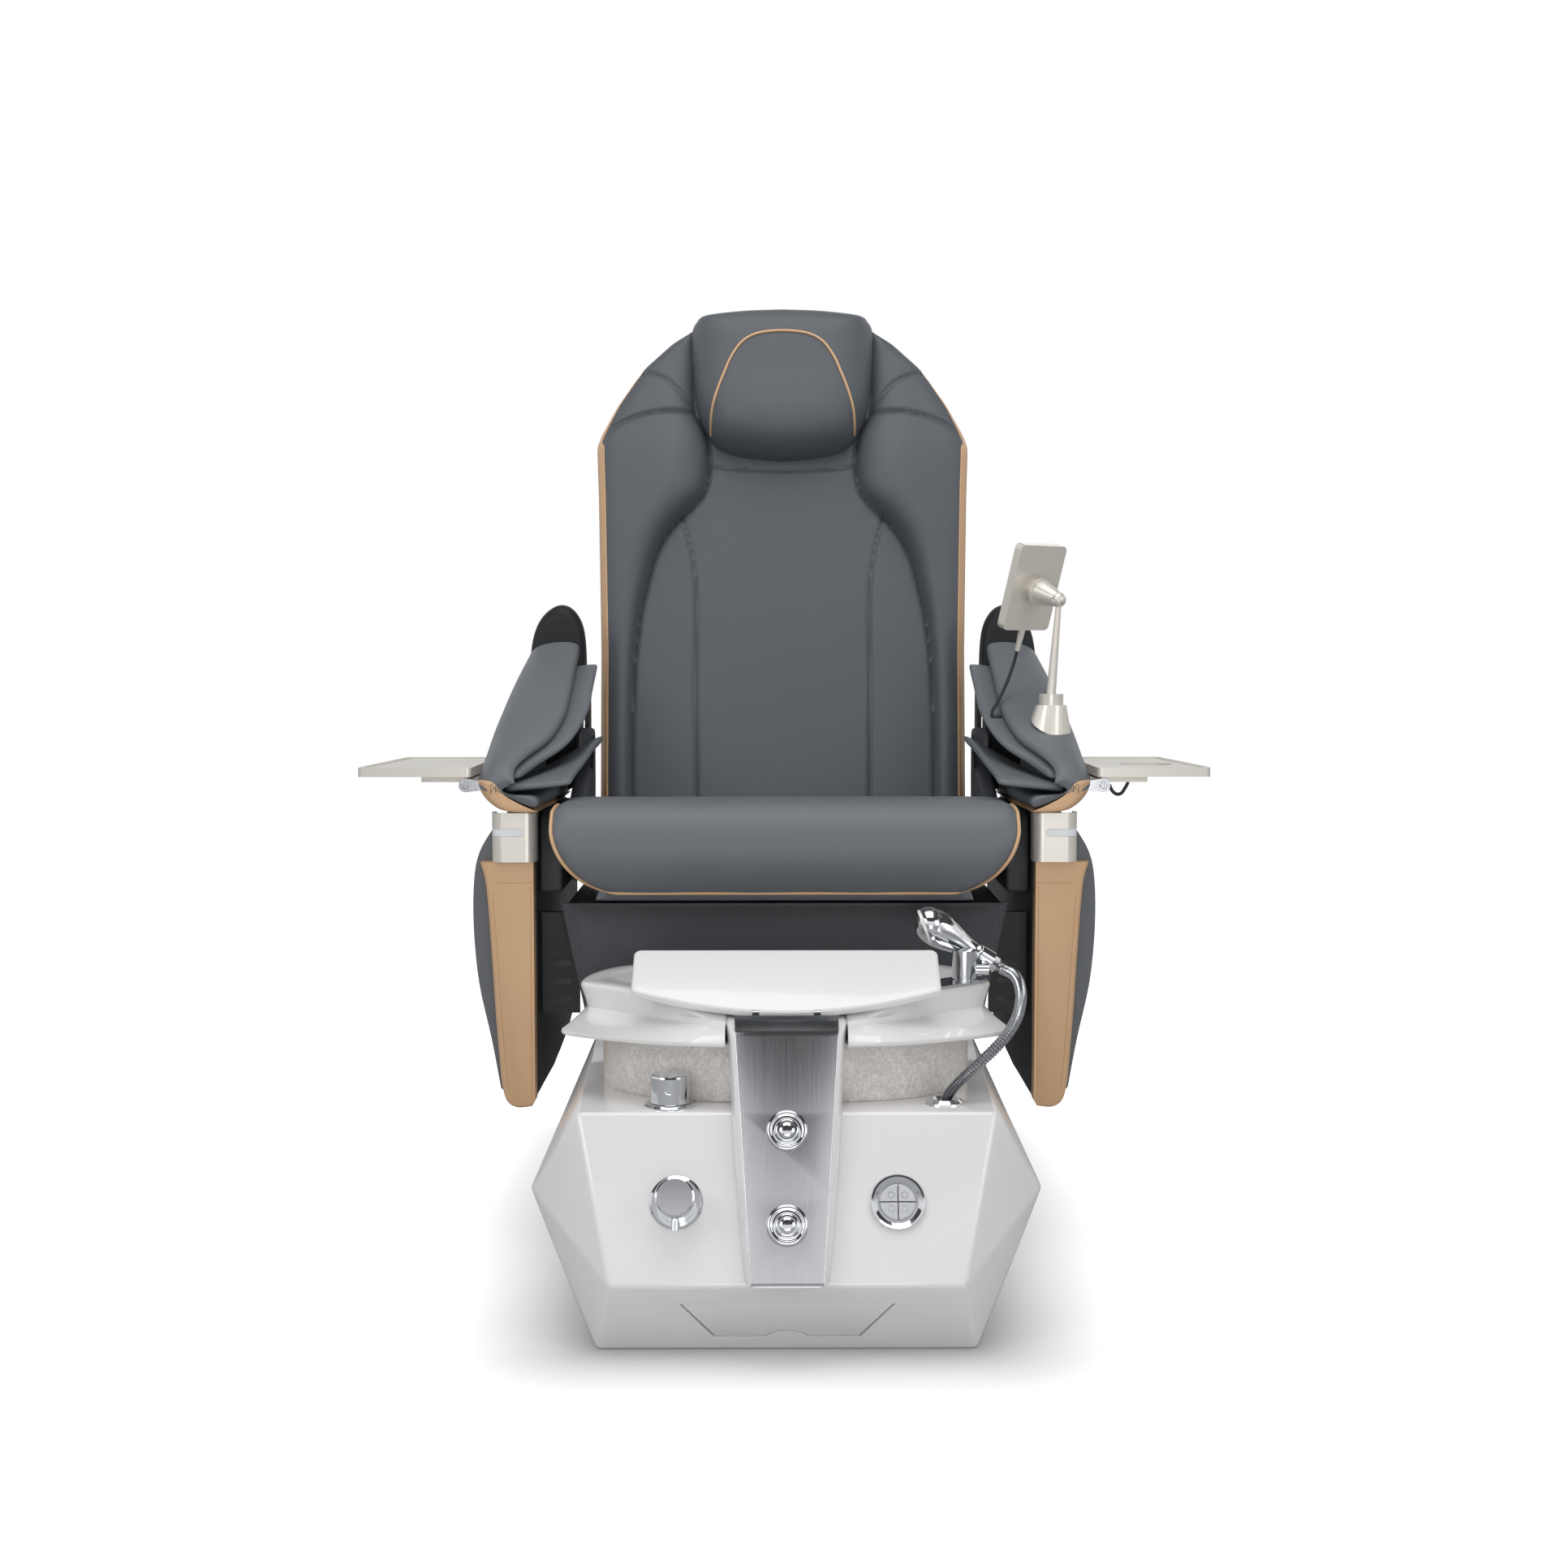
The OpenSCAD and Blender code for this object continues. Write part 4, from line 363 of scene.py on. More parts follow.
def cut(name, mesh, cutters):
    """Takes each cutter mesh away from a mesh."""
    tools = []
    for number, cutter in enumerate(cutters):
        tool = bpy.data.objects.new(name + "_tool", cutter)
        scene.collection.objects.link(tool)
        tools.append(tool)
    result = finished(name, mesh, *[("BOOLEAN", {"object": t, "operation": "DIFFERENCE", "solver": "EXACT"})
                                    for t in tools])
    for tool in tools:
        bpy.data.objects.remove(tool)
    return result


# Gloss acrylic sheet moulding: deep clear shine, with the faint waviness of a hand-finished mould.
acrylic, tree, shader, place = mottled("gloss_white_acrylic", "#eae9e9", "#e4e2e1", 3.0, 0.24)
wave = add(tree, "ShaderNodeTexNoise", {"Vector": place, "Scale": 9.0, "Detail": 1.0})
bump = add(tree, "ShaderNodeBump", {"Height": wave.outputs["Fac"], "Strength": 0.06, "Distance": 0.004})
tree.links.new(bump.outputs["Normal"], shader.inputs["Normal"])
shader.inputs["Coat Weight"].default_value = 0.6
shader.inputs["Coat Roughness"].default_value = 0.05

deck_height, deck_edge = 287, -535
base_corners = mirror_list([(257, deck_edge, deck_height), (276, -60, deck_height), (276, 532, deck_height),
                            (213, -620.5, 95), (320, -490, 182), (314, 502, 182), (232, -562, 0),
                            (240, -532, 0), (232, 562, 0), (266, 582, 182)])
shell = hull("base_moulding", base_corners)
housing = prism("rear_housing", [(-200, -95), (200, -95), (200, 542), (-200, 542)], 230, 400)
house = bpy.data.objects.new("house_tool", housing)
scene.collection.objects.link(house)
shell = finished("base_moulding", shell,
                 ("BOOLEAN", {"object": house, "operation": "UNION", "solver": "EXACT"}),
                 ("BEVEL", {**bevel(0.009, 5, 12), "miter_outer": "MITER_ARC"}))
bpy.data.objects.remove(house)

lean = math.radians(66)
face_turn = Matrix.Rotation(lean, 4, "X")
up_slope = Vector((0, math.cos(lean), math.sin(lean)))
off_slope = Vector((0, -math.sin(lean), math.cos(lean)))


def on_face(x, v, out):
    """A point of the leaning front face: across, up the slope from the deck edge, and out of it."""
    return Vector((x, deck_edge, deck_height)) + v * up_slope + out * off_slope


def round_hole(centre, radius, turn, depth=30):
    """A cutter for a round hole."""
    return turned(prism("hole", oval(radius, radius, 2, 48), -depth, depth), turn, centre)


panel_outline = [(-89, 22), (89, 22), (130, 82), (-130, 82)]
toe_lean = math.atan2(620.5 - 562, 95)
toe_turn = Matrix.Rotation(math.pi / 2 + toe_lean, 4, "X")
toe_panel = prism("toe_panel", panel_outline, -12, 20)
tongue = prism("tongue", oval(32, 30, 2.4, 40, 0, 2), -30, 30)
toe_panel = cut("toe_panel", toe_panel, [tongue])
holes = [prism("bowl_hole", oval(228, 168, 2.5, 72, 0, -300), 150, 330),
         turned(toe_panel, toe_turn, (0, -562, 0)),
         round_hole((-145, -496, deck_height), 16, Matrix(), 25),
         round_hole((198, -486, deck_height), 14.3, Matrix(), 25),
         round_hole(on_face(134, -110, 0), 27, face_turn, 20)]
shell = cut("base_moulding", shell, holes)
base = show("base_moulding", shell, acrylic, 25)
fit(base, "white_gloss", "base", "base_shell")

# The toe panel is the same acrylic. It drops into its opening with an even 1 mm shadow line round it.
foot_edge = (0, -562, 0)
panel_plan = [(-87.5, 23.2), (87.5, 23.2), (127.6, 80.8), (-127.6, 80.8)]
panel = turned(prism("toe_access_panel", panel_plan, -5, -0.6), toe_turn, foot_edge)
finger_arch = turned(prism("arch", oval(33.2, 31, 2.4, 40, 0, 2), -12, 12), toe_turn, foot_edge)
panel = cut("toe_access_panel", panel, [finger_arch])
panel = finished("toe_access_panel", panel, ("BEVEL", {"width": 0.0015, "segments": 3}))
toe = show("toe_access_panel", panel, acrylic, 30)
fit(toe, "white_gloss", "base", "access_panel")


def paint(node, material):
    """Gives a piece that stays as it is its material."""
    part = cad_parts[node]
    for part_slot in part.material_slots:
        part_slot.material = material
    if not part.material_slots:
        part.data.materials.append(material)


# Black polypropylene for the pan, the pump and other hidden mouldings: matt, with a fine spark-eroded
# texture.
black_moulding, tree, shader, place = new_material("black_polypropylene")
grain = add(tree, "ShaderNodeTexNoise", {"Vector": place, "Scale": 900.0, "Detail": 2.0})
bump = add(tree, "ShaderNodeBump", {"Height": grain.outputs["Fac"], "Strength": 0.25, "Distance": 0.0006})
tree.links.new(bump.outputs["Normal"], shader.inputs["Normal"])
shader.inputs["Base Color"].default_value = linear("#1b1c1f")
shader.inputs["Roughness"].default_value = 0.55
for node in ("floor_pan", "drain_pump", "jet_motor", "jet_impeller", "massage_carriage"):
    paint(node, black_moulding)

# ---------------------------------------------------------------- column and fascia
# The column is part of the white acrylic front. It flares at its cheeks and carries a folded fascia of
# brushed stainless steel, with a bent top and a lip at its foot.

slope = math.tan(math.radians(24))
column_front = -519.8
column_top = 384
button_places = (-123, -236.5)
pocket_radius = 17.4


def column_y(z):
    """Where the column's front is at a height."""
    return column_front - (column_top - z) * slope


rings = []
for z, half, back in ((101, 50, -601), (150, 55.5, -580), (230, 63, -545), (287, 67.5, -505),
                      (340, 71.5, -424), (378, 74.5, -424), (column_top, 75, -424)):
    y = column_y(z)
    edge = half * 0.85
    right = [(edge * 0.9, y, z), (edge, y + 0.6, z), (half * 0.93, y + 5, z),
             (half, back * 0.35 + y * 0.65, z), (half, back, z)]
    rings.append([(-a, b, c) for a, b, c in reversed(right)] + right)
top_slope = math.tan(math.radians(10))
rings[-1] = [(x, y, z + (y - column_front) * top_slope) for x, y, z in rings[-1]]
column_mesh = finished("column_moulding", loft("column_moulding", rings), ("BEVEL", bevel(0.003, 3, 35)))


def on_column(x, v, out):
    """A point of the column's leaning front: across, up the slope from its top edge, and out of it."""
    return Vector((x, column_front, column_top)) + v * up_slope + out * off_slope


pockets = [round_hole(on_column(0, v, 0), pocket_radius, face_turn, 14) for v in button_places]
column_mesh = cut("column_moulding", column_mesh, pockets)
column = show("column_moulding", column_mesh, acrylic, 28)
fit(column, "white_gloss", "base", "column")

# Brushed stainless sheet: satin, with fine lines down its length that stretch the highlights across.
brushed, tree, shader, place = new_material("brushed_stainless_sheet")
line_map = add(tree, "ShaderNodeMapping", {"Vector": place, "Scale": (2600.0, 14.0, 14.0)})
lines = add(tree, "ShaderNodeTexNoise", {"Vector": line_map.outputs["Vector"], "Scale": 1.0, "Detail": 3.0})
tint = add(tree, "ShaderNodeMix", {"Factor": lines.outputs["Fac"], "A": linear("#b4b5ba"),
                                   "B": linear("#d6d7da")}, data_type="RGBA")
tree.links.new(tint.outputs["Result"], shader.inputs["Base Color"])
rough = add(tree, "ShaderNodeMapRange", {"Value": lines.outputs["Fac"], "To Min": 0.1, "To Max": 0.19})
tree.links.new(rough.outputs["Result"], shader.inputs["Roughness"])
bump = add(tree, "ShaderNodeBump", {"Height": lines.outputs["Fac"], "Strength": 0.12, "Distance": 0.0004})
tree.links.new(bump.outputs["Normal"], shader.inputs["Normal"])
shader.inputs["Metallic"].default_value = 1.0

outer = [(on_column(0, v, 2.1), half) for v, half in ((-304.0, 43.6), (-200, 50.6), (-100, 57.3), (-6, 63.6))]
bend = Vector((0, column_front - 1.0, 385.6))
rear = Vector((0, column_front + 30, 399.5))
foot_low = on_column(0, -307, 0.4)
stations = [(foot_low + Vector((0, 13, -6)), 43.0), (foot_low, 43.2)] + outer + [
    (on_column(0, -1.5, 2.0), 64), (bend, 64), (Vector((0, column_front + 3, 387.6)), 64), (rear, 65)]
points, faces = [], []
for centre, half in stations:
    points += [(-half, centre.y, centre.z), (half, centre.y, centre.z)]
for k in range(len(stations) - 1):
    faces.append((2 * k, 2 * k + 1, 2 * k + 3, 2 * k + 2))
sheet = mesh_from("steel_fascia", points, faces)
sheet = finished("steel_fascia", sheet, ("SOLIDIFY", {"thickness": 0.0019, "offset": -1}),
                 ("BEVEL", bevel(0.0007, 2, 50)))
sheet = cut("steel_fascia", sheet, [round_hole(on_column(0, v, 0), pocket_radius, face_turn, 12)
                                    for v in button_places])
fascia = show("steel_fascia", sheet, brushed, 25)
fit(fascia, "brushed_steel", "base", "fascia")

# Polished chrome plate on brass: near-mirror, with the faintest haze from wiping.
chrome, tree, shader, place = new_material("polished_chrome_plate")
haze = add(tree, "ShaderNodeTexNoise", {"Vector": place, "Scale": 34.0, "Detail": 3.0})
rough = add(tree, "ShaderNodeMapRange", {"Value": haze.outputs["Fac"], "To Min": 0.045, "To Max": 0.11})
tree.links.new(rough.outputs["Result"], shader.inputs["Roughness"])
shader.inputs["Base Color"].default_value = linear("#d5d7da")
shader.inputs["Metallic"].default_value = 1.0


def spin(name, profile, turn, centre, steps=96):
    """Turns a half profile of (radius, height) points about its axis into a closed skin."""
    angles = [2 * math.pi * i / steps for i in range(steps)]
    rings = [[(r * math.cos(a), r * math.sin(a), h) for a in angles] for r, h in profile]
    return turned(loft(name, rings), turn, centre)


def joined(name, meshes):
    """Puts several meshes into one."""
    parts = []
    for mesh in meshes:
        part = bpy.data.objects.new(name, mesh)
        scene.collection.objects.link(part)
        parts.append(part)
    with bpy.context.temp_override(active_object=parts[0], selected_editable_objects=parts,
                                   selected_objects=parts):
        bpy.ops.object.join()
    result = parts[0].data
    bpy.data.objects.remove(parts[0])
    result.name = name
    return result


# Each air button sits in a turned chrome bezel with a rounded shoulder and a groove round the cap.
bezel_profile = [(14.15, -8), (16.9, -8), (16.9, 2.1), (24.2, 2.1), (25, 2.9), (24.8, 4.2), (23.6, 5.6),
                 (21.6, 6.3), (19.6, 6.1), (18.4, 5.2), (17.2, 5.4), (15.6, 5.9), (14.6, 5.6), (14.15, 5)]
cap_profile = [(14.1, -4), (14.1, 4.9), (13.4, 5.9), (12, 6.3), (10.8, 6.3), (10.3, 5.7), (9.6, 5.7),
               (9.1, 6.4), (4, 6.9), (0.4, 7)]
cups = [spin("bezel", bezel_profile, face_turn, on_column(0, v, 0)) for v in button_places]
bezels = show("button_bezel_rings", joined("button_bezel_rings", cups), chrome, 50)
fit(bezels, "chrome", "base", "button_bezels")
for name, v in zip(("drain_button", "jet_button"), button_places):
    cap = spin(name + "_cap", cap_profile, face_turn, on_column(0, v, 0))
    button = show(name + "_cap", cap, chrome, 50)
    fit(button, "chrome", name, name)

# ---------------------------------------------------------------- knobs, keypad and grommet
# Mixer and diverter knobs of turned brass, chrome-plated, turn on their flanges. The round keypad has four
# soft keys in a chrome ring, and a chrome grommet lines the hose's way through the deck.

for node in ("valve_flanges", "mixer_knob", "diverter_knob", "keypad_bezel", "hose_grommet", "holder",
             "drain_strainer", "footrest_hinge"):
    paint(node, chrome)

# Satin grey ABS keys, moulded smooth, their tone differing a little at random.
key_plastic = mottled("satin_grey_abs", "#bfc1c3", "#d0d1d3", 120.0, 0.38)[0]
for number in range(1, 5):
    paint("key_%d" % number, key_plastic)
    across = math.radians(90 * number - 45)
    at = on_face(134 + 11.6 * math.cos(across), -110 + 11.6 * math.sin(across), 5.3)
    angles = [math.pi * i / 16 for i in range(32)]
    rings = [[(r * math.cos(a), r * math.sin(a), h) for a in angles]
             for r, h in ((3.3, -0.6), (4.1, -0.6), (4.1, 0.25), (3.3, 0.25))]
    mark = turned(loft("key_ring", rings, close=True), face_turn, at)
    mark = show("key_%d_ring" % number, mark, chrome, 40)
    fit(mark, "chrome", "key_%d" % number)

# ---------------------------------------------------------------- bowl, band, drain and jet
# The footbath is one white acrylic bowl whose lower lip flares out as a wing at each side. It stands on a
# band of pale stone resin. A strainer and the jet's slotted cover sit on its floor.

# Cast stone resin: milky, with fine drifting veins, lightly polished.
stone, tree, shader, place = new_material("veined_stone_resin")
drift = add(tree, "ShaderNodeTexNoise", {"Vector": place, "Scale": 26.0, "Detail": 8.0, "Roughness": 0.72,
                                         "Distortion": 0.6})
speck = add(tree, "ShaderNodeTexNoise", {"Vector": place, "Scale": 240.0, "Detail": 3.0})
mixed = add(tree, "ShaderNodeMath", {0: drift.outputs["Fac"], 1: speck.outputs["Fac"]}, operation="MULTIPLY")
tint = add(tree, "ShaderNodeValToRGB", {"Fac": mixed.outputs["Value"]})
tint.color_ramp.elements[0].position = 0.14
tint.color_ramp.elements[0].color = linear("#cdc8c2")
tint.color_ramp.elements[1].position = 0.38
tint.color_ramp.elements[1].color = linear("#efece8")
tree.links.new(tint.outputs["Color"], shader.inputs["Base Color"])
shader.inputs["Roughness"].default_value = 0.3
shader.inputs["Subsurface Weight"].default_value = 0.15
shader.inputs["Subsurface Radius"].default_value = (0.01, 0.01, 0.01)
bump = add(tree, "ShaderNodeBump", {"Height": drift.outputs["Fac"], "Strength": 0.1, "Distance": 0.001})
tree.links.new(bump.outputs["Normal"], shader.inputs["Normal"])

column_gap = [(-66.5, -500), (66.5, -500), (75.3, -424), (75.6, -402), (-75.6, -402), (-75.3, -424)]
band = cut("stone_band", prism("stone_band", oval(242, 182, 2.5, 144, 0, -300), deck_height, 362.7),
           [prism("inside", oval(232, 172, 2.5, 144, 0, -300), 200, 400), prism("gap", column_gap, 200, 400)])
band = show("stone_band", finished("stone_band", band, ("BEVEL", bevel(0.0015, 2, 50))), stone, 30)
fit(band, "stone_band", "base", "bowl_band")

wing_low = [(76.4, -511), (150, -499), (222, -468), (272, -436), (288, -414), (281, -390), (252, -330),
            (238, -270), (215, -200), (150, -160), (0, -148)]
wing_top = [(76.4, -492), (137, -448), (182, -405), (221, -365), (250, -345), (262, -325), (262, -300),
            (252, -255), (222, -185), (150, -145), (0, -132)]
rim_out = [(76.4, -484), (135, -444), (185, -398), (225, -362), (258, -336), (270, -318), (272, -295),
           (262, -240), (228, -178), (150, -140), (0, -126)]
rim_in = [(80, -434), (112, -408), (155, -366), (190, -335), (216, -308), (228, -290), (230, -270),
          (222, -232), (192, -190), (130, -166), (0, -156)]


bowl_middle = -285
notch_half = 76.4


def around(front, half):
    """A whole closed plan curve from its right half, with the column's notch at the front."""
    right = [Vector((0, front, 0)), Vector((40, front, 0)), Vector((notch_half, front, 0))] \
        + spline([(x, y, 0) for x, y in half], 6)
    return right + [Vector((-p.x, p.y, 0)) for p in right[-2:0:-1]]


def scaled(curve, k):
    """A plan curve drawn in towards the bowl's middle."""
    return [Vector((p.x * k, bowl_middle + (p.y - bowl_middle) * k, 0)) for p in curve]


board_slope = math.radians(28.7)
board_pin = (-474, 401.5)
board_under_pin = 5.35


def board_under(y):
    """The height of the footrest's underside."""
    pin_y, pin_z = board_pin
    return pin_z - board_under_pin / math.cos(board_slope) + (y - pin_y) * math.tan(board_slope)


def rim_z(y):
    """The height of the rim's crown, which dips under the footrest."""
    return max(387.0, min(415.0, board_under(y) - 5))


def between(curve, other, t):
    """A plan curve part of the way from one to another."""
    return [a.lerp(b, t) for a, b in zip(curve, other)]


def level(curve, z):
    """A ring of the bowl at one height."""
    return [(p.x, p.y, z) for p in curve]


def along_rim(curve, drop):
    """A ring of the bowl that follows the rim's crown, some way below it."""
    return [(p.x, p.y, rim_z(p.y) - drop) for p in curve]


low, wing, rim = (around(-422, curve) for curve in (wing_low, wing_top, rim_out))
inner = around(-404, rim_in)
rings = [level(scaled(inner, 0.6), 152), level(scaled(inner, 0.76), 160), level(scaled(inner, 0.95), 363),
         level(scaled(low, 0.97), 364.5), level(scaled(low, 0.995), 363), level(low, 365),
         level(scaled(low, 0.997), 368.5), level(between(low, wing, 0.45), 376), level(wing, 384),
         level(between(wing, rim, 0.25), 392), along_rim(scaled(between(wing, rim, 0.85), 0.998), 12),
         along_rim(rim, 5), along_rim(scaled(rim, 0.993), 1.5), along_rim(scaled(rim, 0.98), 0.2),
         along_rim(between(rim, inner, 0.35), 0), along_rim(scaled(inner, 1.03), 0.4),
         along_rim(scaled(inner, 1.008), 2.4), along_rim(inner, 8), along_rim(scaled(inner, 0.975), 26),
         level(scaled(inner, 0.9), 340), level(scaled(inner, 0.79), 240), level(scaled(inner, 0.71), 176),
         level(scaled(inner, 0.66), 163), level(scaled(inner, 0.6), 160)]
bowl = cut("footbath_bowl", loft("footbath_bowl", rings), [round_hole((62, -285, 160), 14, Matrix(), 20),
                                                           round_hole((-62, -285, 160), 20, Matrix(), 20)])
bowl = show("footbath_bowl", bowl, acrylic, 50)
fit(bowl, "white_gloss", "base", "tub")
paint("jet_cover", acrylic)

# ---------------------------------------------------------------- footrest
# A thick acrylic board with a bowed front edge and soft edges all round. It hinges just behind the column's
# top on a chrome pin, whose lugs sit in two notches of its underside, and slopes up over the bowl.

board_turn = Matrix.Rotation(board_slope, 4, "X")
board_half, board_rear = 197, 121.2
outline = [(board_half * t, -8.4 + 44.6 * t ** 2) for t in [2 * i / 48 - 1 for i in range(49)]]
corner = [(board_half - 10 + 10 * math.cos(a), board_rear - 10 + 10 * math.sin(a))
          for a in [math.pi / 2 * i / 8 for i in range(9)]]
outline += corner + [(-x, y) for x, y in reversed(corner)]
board = finished("footrest_board", prism("footrest_board", outline, -board_under_pin, 6.65),
                 ("BEVEL", bevel(0.0046, 5, 50)))
notches = [prism("notch", [(x - 4.5, -40), (x + 4.5, -40), (x + 4.5, 5.2), (x - 4.5, 5.2)], -10, 5.65)
           for x in (-38.5, 38.5)]
board = turned(cut("footrest_board", board, notches), board_turn, (0, -474.013, 401.5))
footrest = show("footrest_board", board, acrylic, 35)
fit(footrest, "white_gloss", "footrest", "footrest")

# ---------------------------------------------------------------- sprayer
# A chrome-plated hand sprayer with a turned handle and a domed head. It rests in its clip on a post, and its
# pale nozzle face turns to change the spray.

handle_turn = Matrix.Rotation(-tilt, 4, "Y")
handle_profile = [(0.5, 0), (10.4, 0), (11, 0.6), (11, 27.3), (13.4, 27.4), (14, 28), (14, 33), (13, 34),
                  (12.4, 38), (13, 44), (14.6, 52), (17.4, 62), (20.6, 72), (23.2, 83), (24.4, 94),
                  (23.6, 104), (20.4, 113), (15, 119.5), (8, 123), (0.5, 124)]
handle = spin("sprayer_handle", handle_profile, handle_turn, handle_end, 72)
head_centre = handle_end + handle_up * 102
head_turn = handle_turn @ Matrix.Rotation(math.radians(128), 4, "Y")
head_profile = [(22.3, -4), (22.3, -8), (25.4, -8), (26, -7.2), (26, -1), (25.2, 4), (22.8, 9.5), (18, 14),
                (11, 16.8), (5, 17.4), (0.5, 17.5)]
head = spin("sprayer_head", head_profile, head_turn, head_centre, 72)
sprayer = show("hand_sprayer", joined("hand_sprayer", [handle, head]), chrome, 50)
fit(sprayer, "chrome", "sprayer", "sprayer")
paint("sprayer_face", acrylic)

# ---------------------------------------------------------------- steel frame and rails
# The seat runs on two channel rails that are screwed to the base. The frame that carries the seat, arms and
# back is welded from sheet and tube, and coated black.

# Black powder coat: even, slightly pebbled, satin.
powder_coat, tree, shader, place = new_material("black_powder_coat")
pebble = add(tree, "ShaderNodeTexVoronoi", {"Vector": place, "Scale": 1400.0})
bump = add(tree, "ShaderNodeBump", {"Height": pebble.outputs["Distance"], "Strength": 0.2, "Distance": 0.0004})
tree.links.new(bump.outputs["Normal"], shader.inputs["Normal"])
shader.inputs["Base Color"].default_value = linear("#1d1e21")
shader.inputs["Roughness"].default_value = 0.42
for node in ("slide_rails", "seat_frame", "back_frame"):
    paint(node, powder_coat)

# ---------------------------------------------------------------- apron
# A padded panel in dark grey leathercloth, with a row of stitches along its border. It hangs from the base
# under the seat and hides the rails.


def leathercloth(name, light, dark, roughness, grain_mm=1.1, depth=0.22, gloss=0.4):
    """Polyurethane leathercloth: a fine pebble grain, soft creases of tone, and a low even sheen."""
    material, tree, shader, place = new_material(name)
    cells = add(tree, "ShaderNodeTexVoronoi", {"Vector": place, "Scale": 1000.0 / grain_mm},
                feature="SMOOTH_F1")
    pores = add(tree, "ShaderNodeTexNoise", {"Vector": place, "Scale": 2600.0, "Detail": 2.0})
    relief = add(tree, "ShaderNodeMath", {0: cells.outputs["Distance"], 1: pores.outputs["Fac"]},
                 operation="ADD")
    bump = add(tree, "ShaderNodeBump", {"Height": relief.outputs["Value"], "Strength": depth,
                                        "Distance": 0.0005})
    tree.links.new(bump.outputs["Normal"], shader.inputs["Normal"])
    wear = add(tree, "ShaderNodeTexNoise", {"Vector": place, "Scale": 5.0, "Detail": 5.0, "Roughness": 0.6})
    tint = add(tree, "ShaderNodeMix", {"Factor": wear.outputs["Fac"], "A": linear(dark),
                                       "B": linear(light)}, data_type="RGBA")
    tree.links.new(tint.outputs["Result"], shader.inputs["Base Color"])
    rough = add(tree, "ShaderNodeMapRange", {"Value": wear.outputs["Fac"], "To Min": roughness - 0.05,
                                             "To Max": roughness + 0.07})
    tree.links.new(rough.outputs["Result"], shader.inputs["Roughness"])
    shader.inputs["Specular IOR Level"].default_value = gloss
    return material


slate = leathercloth("slate_leathercloth", "#6c7075", "#65696e", 0.44)
# The same slate cloth painted darker for the back and pillow: painted shade, not a second cloth.
slate_painted_darker_as_shade = leathercloth("slate_leathercloth_painted_darker_as_shade", "#5c6065", "#565a5f", 0.46, gloss=0.34)
charcoal = leathercloth("charcoal_leathercloth", "#4a4d51", "#424549", 0.46)
# Black-grey cloth: partly the fin's own dark cloth and partly painted shade on it; on the panels' inner faces,
# painted shade only.
shadow_black = leathercloth("black_grey_cloth_and_painted_shade", "#27292b", "#202224", 0.5, gloss=0.22)
bronze = leathercloth("bronze_leathercloth", "#d8b28a", "#cba57e", 0.36, depth=0.16, gloss=0.5)
bronze.node_tree.nodes["Principled BSDF"].inputs["Metallic"].default_value = 0.2


def stitch_tree():
    """Sewing: short threads laid along a line at an even pitch."""
    tree = bpy.data.node_groups.new("stitches", "GeometryNodeTree")
    for name, kind in (("Geometry", "NodeSocketGeometry"), ("Pitch", "NodeSocketFloat"),
                       ("Length", "NodeSocketFloat"), ("Thickness", "NodeSocketFloat"),
                       ("Thread", "NodeSocketMaterial")):
        tree.interface.new_socket(name, in_out="INPUT", socket_type=kind)
    tree.interface.new_socket("Geometry", in_out="OUTPUT", socket_type="NodeSocketGeometry")
    given = add(tree, "NodeGroupInput").outputs
    spots = add(tree, "GeometryNodeCurveToPoints", {"Curve": given["Geometry"], "Length": given["Pitch"]},
                mode="LENGTH")
    turn = add(tree, "FunctionNodeAlignRotationToVector", {"Vector": spots.outputs["Tangent"]}, axis="Z")
    thread = add(tree, "GeometryNodeMeshCylinder", {"Vertices": 6, "Radius": given["Thickness"],
                                                    "Depth": given["Length"]})
    laid = add(tree, "GeometryNodeInstanceOnPoints", {"Points": spots.outputs["Points"],
                                                      "Instance": thread.outputs["Mesh"],
                                                      "Rotation": turn.outputs["Rotation"]})
    real = add(tree, "GeometryNodeRealizeInstances", {"Geometry": laid.outputs["Instances"]})
    made = add(tree, "GeometryNodeSetMaterial", {"Geometry": real.outputs["Geometry"],
                                                 "Material": given["Thread"]})
    add(tree, "NodeGroupOutput", {"Geometry": made.outputs["Geometry"]})
    return tree


sewing = stitch_tree()


def stitches(name, lines, body, slot, thread, pitch=4.4, length=3.1, thickness=0.42):
    """Sews along lines of points in millimetres, and makes one plain mesh of them."""
    curve = bpy.data.curves.new(name, "CURVE")
    curve.dimensions = "3D"
    for line in lines:
        strand = curve.splines.new("POLY")
        strand.points.add(len(line) - 1)
        for point, at in zip(strand.points, line):
            point.co = (at[0] * 0.001, at[1] * 0.001, at[2] * 0.001, 1)
    piece = bpy.data.objects.new(name, curve)
    scene.collection.objects.link(piece)
    modifier = piece.modifiers.new("sewing", "NODES")
    modifier.node_group = sewing
    sockets = {s.name: s.identifier for s in sewing.interface.items_tree if s.in_out == "INPUT"}
    modifier[sockets["Pitch"]] = pitch * 0.001
    modifier[sockets["Length"]] = length * 0.001
    modifier[sockets["Thickness"]] = thickness * 0.001
    modifier[sockets["Thread"]] = thread
    mesh = bpy.data.meshes.new_from_object(piece.evaluated_get(bpy.context.evaluated_depsgraph_get()))
    bpy.data.objects.remove(piece)
    sewn = bpy.data.objects.new(name, mesh)
    scene.collection.objects.link(sewn)
    fit(sewn, slot, body)


# Bonded polyester thread: twisted, with a faint sheen, near the tone of the cloth that it holds.
slate_thread = mottled("slate_polyester_thread", "#4a4e52", "#6a6f74", 1500.0, 0.6)[0]
bronze_thread = mottled("bronze_polyester_thread", "#b08a63", "#d2b086", 1500.0, 0.6)[0]


def groove(distance, width, depth):
    """How deep a sewn seam pulls the cover in, at a distance from it."""
    return depth * math.exp(-(distance / width) ** 2)


apron_low, apron_high = 302.5, 495.8


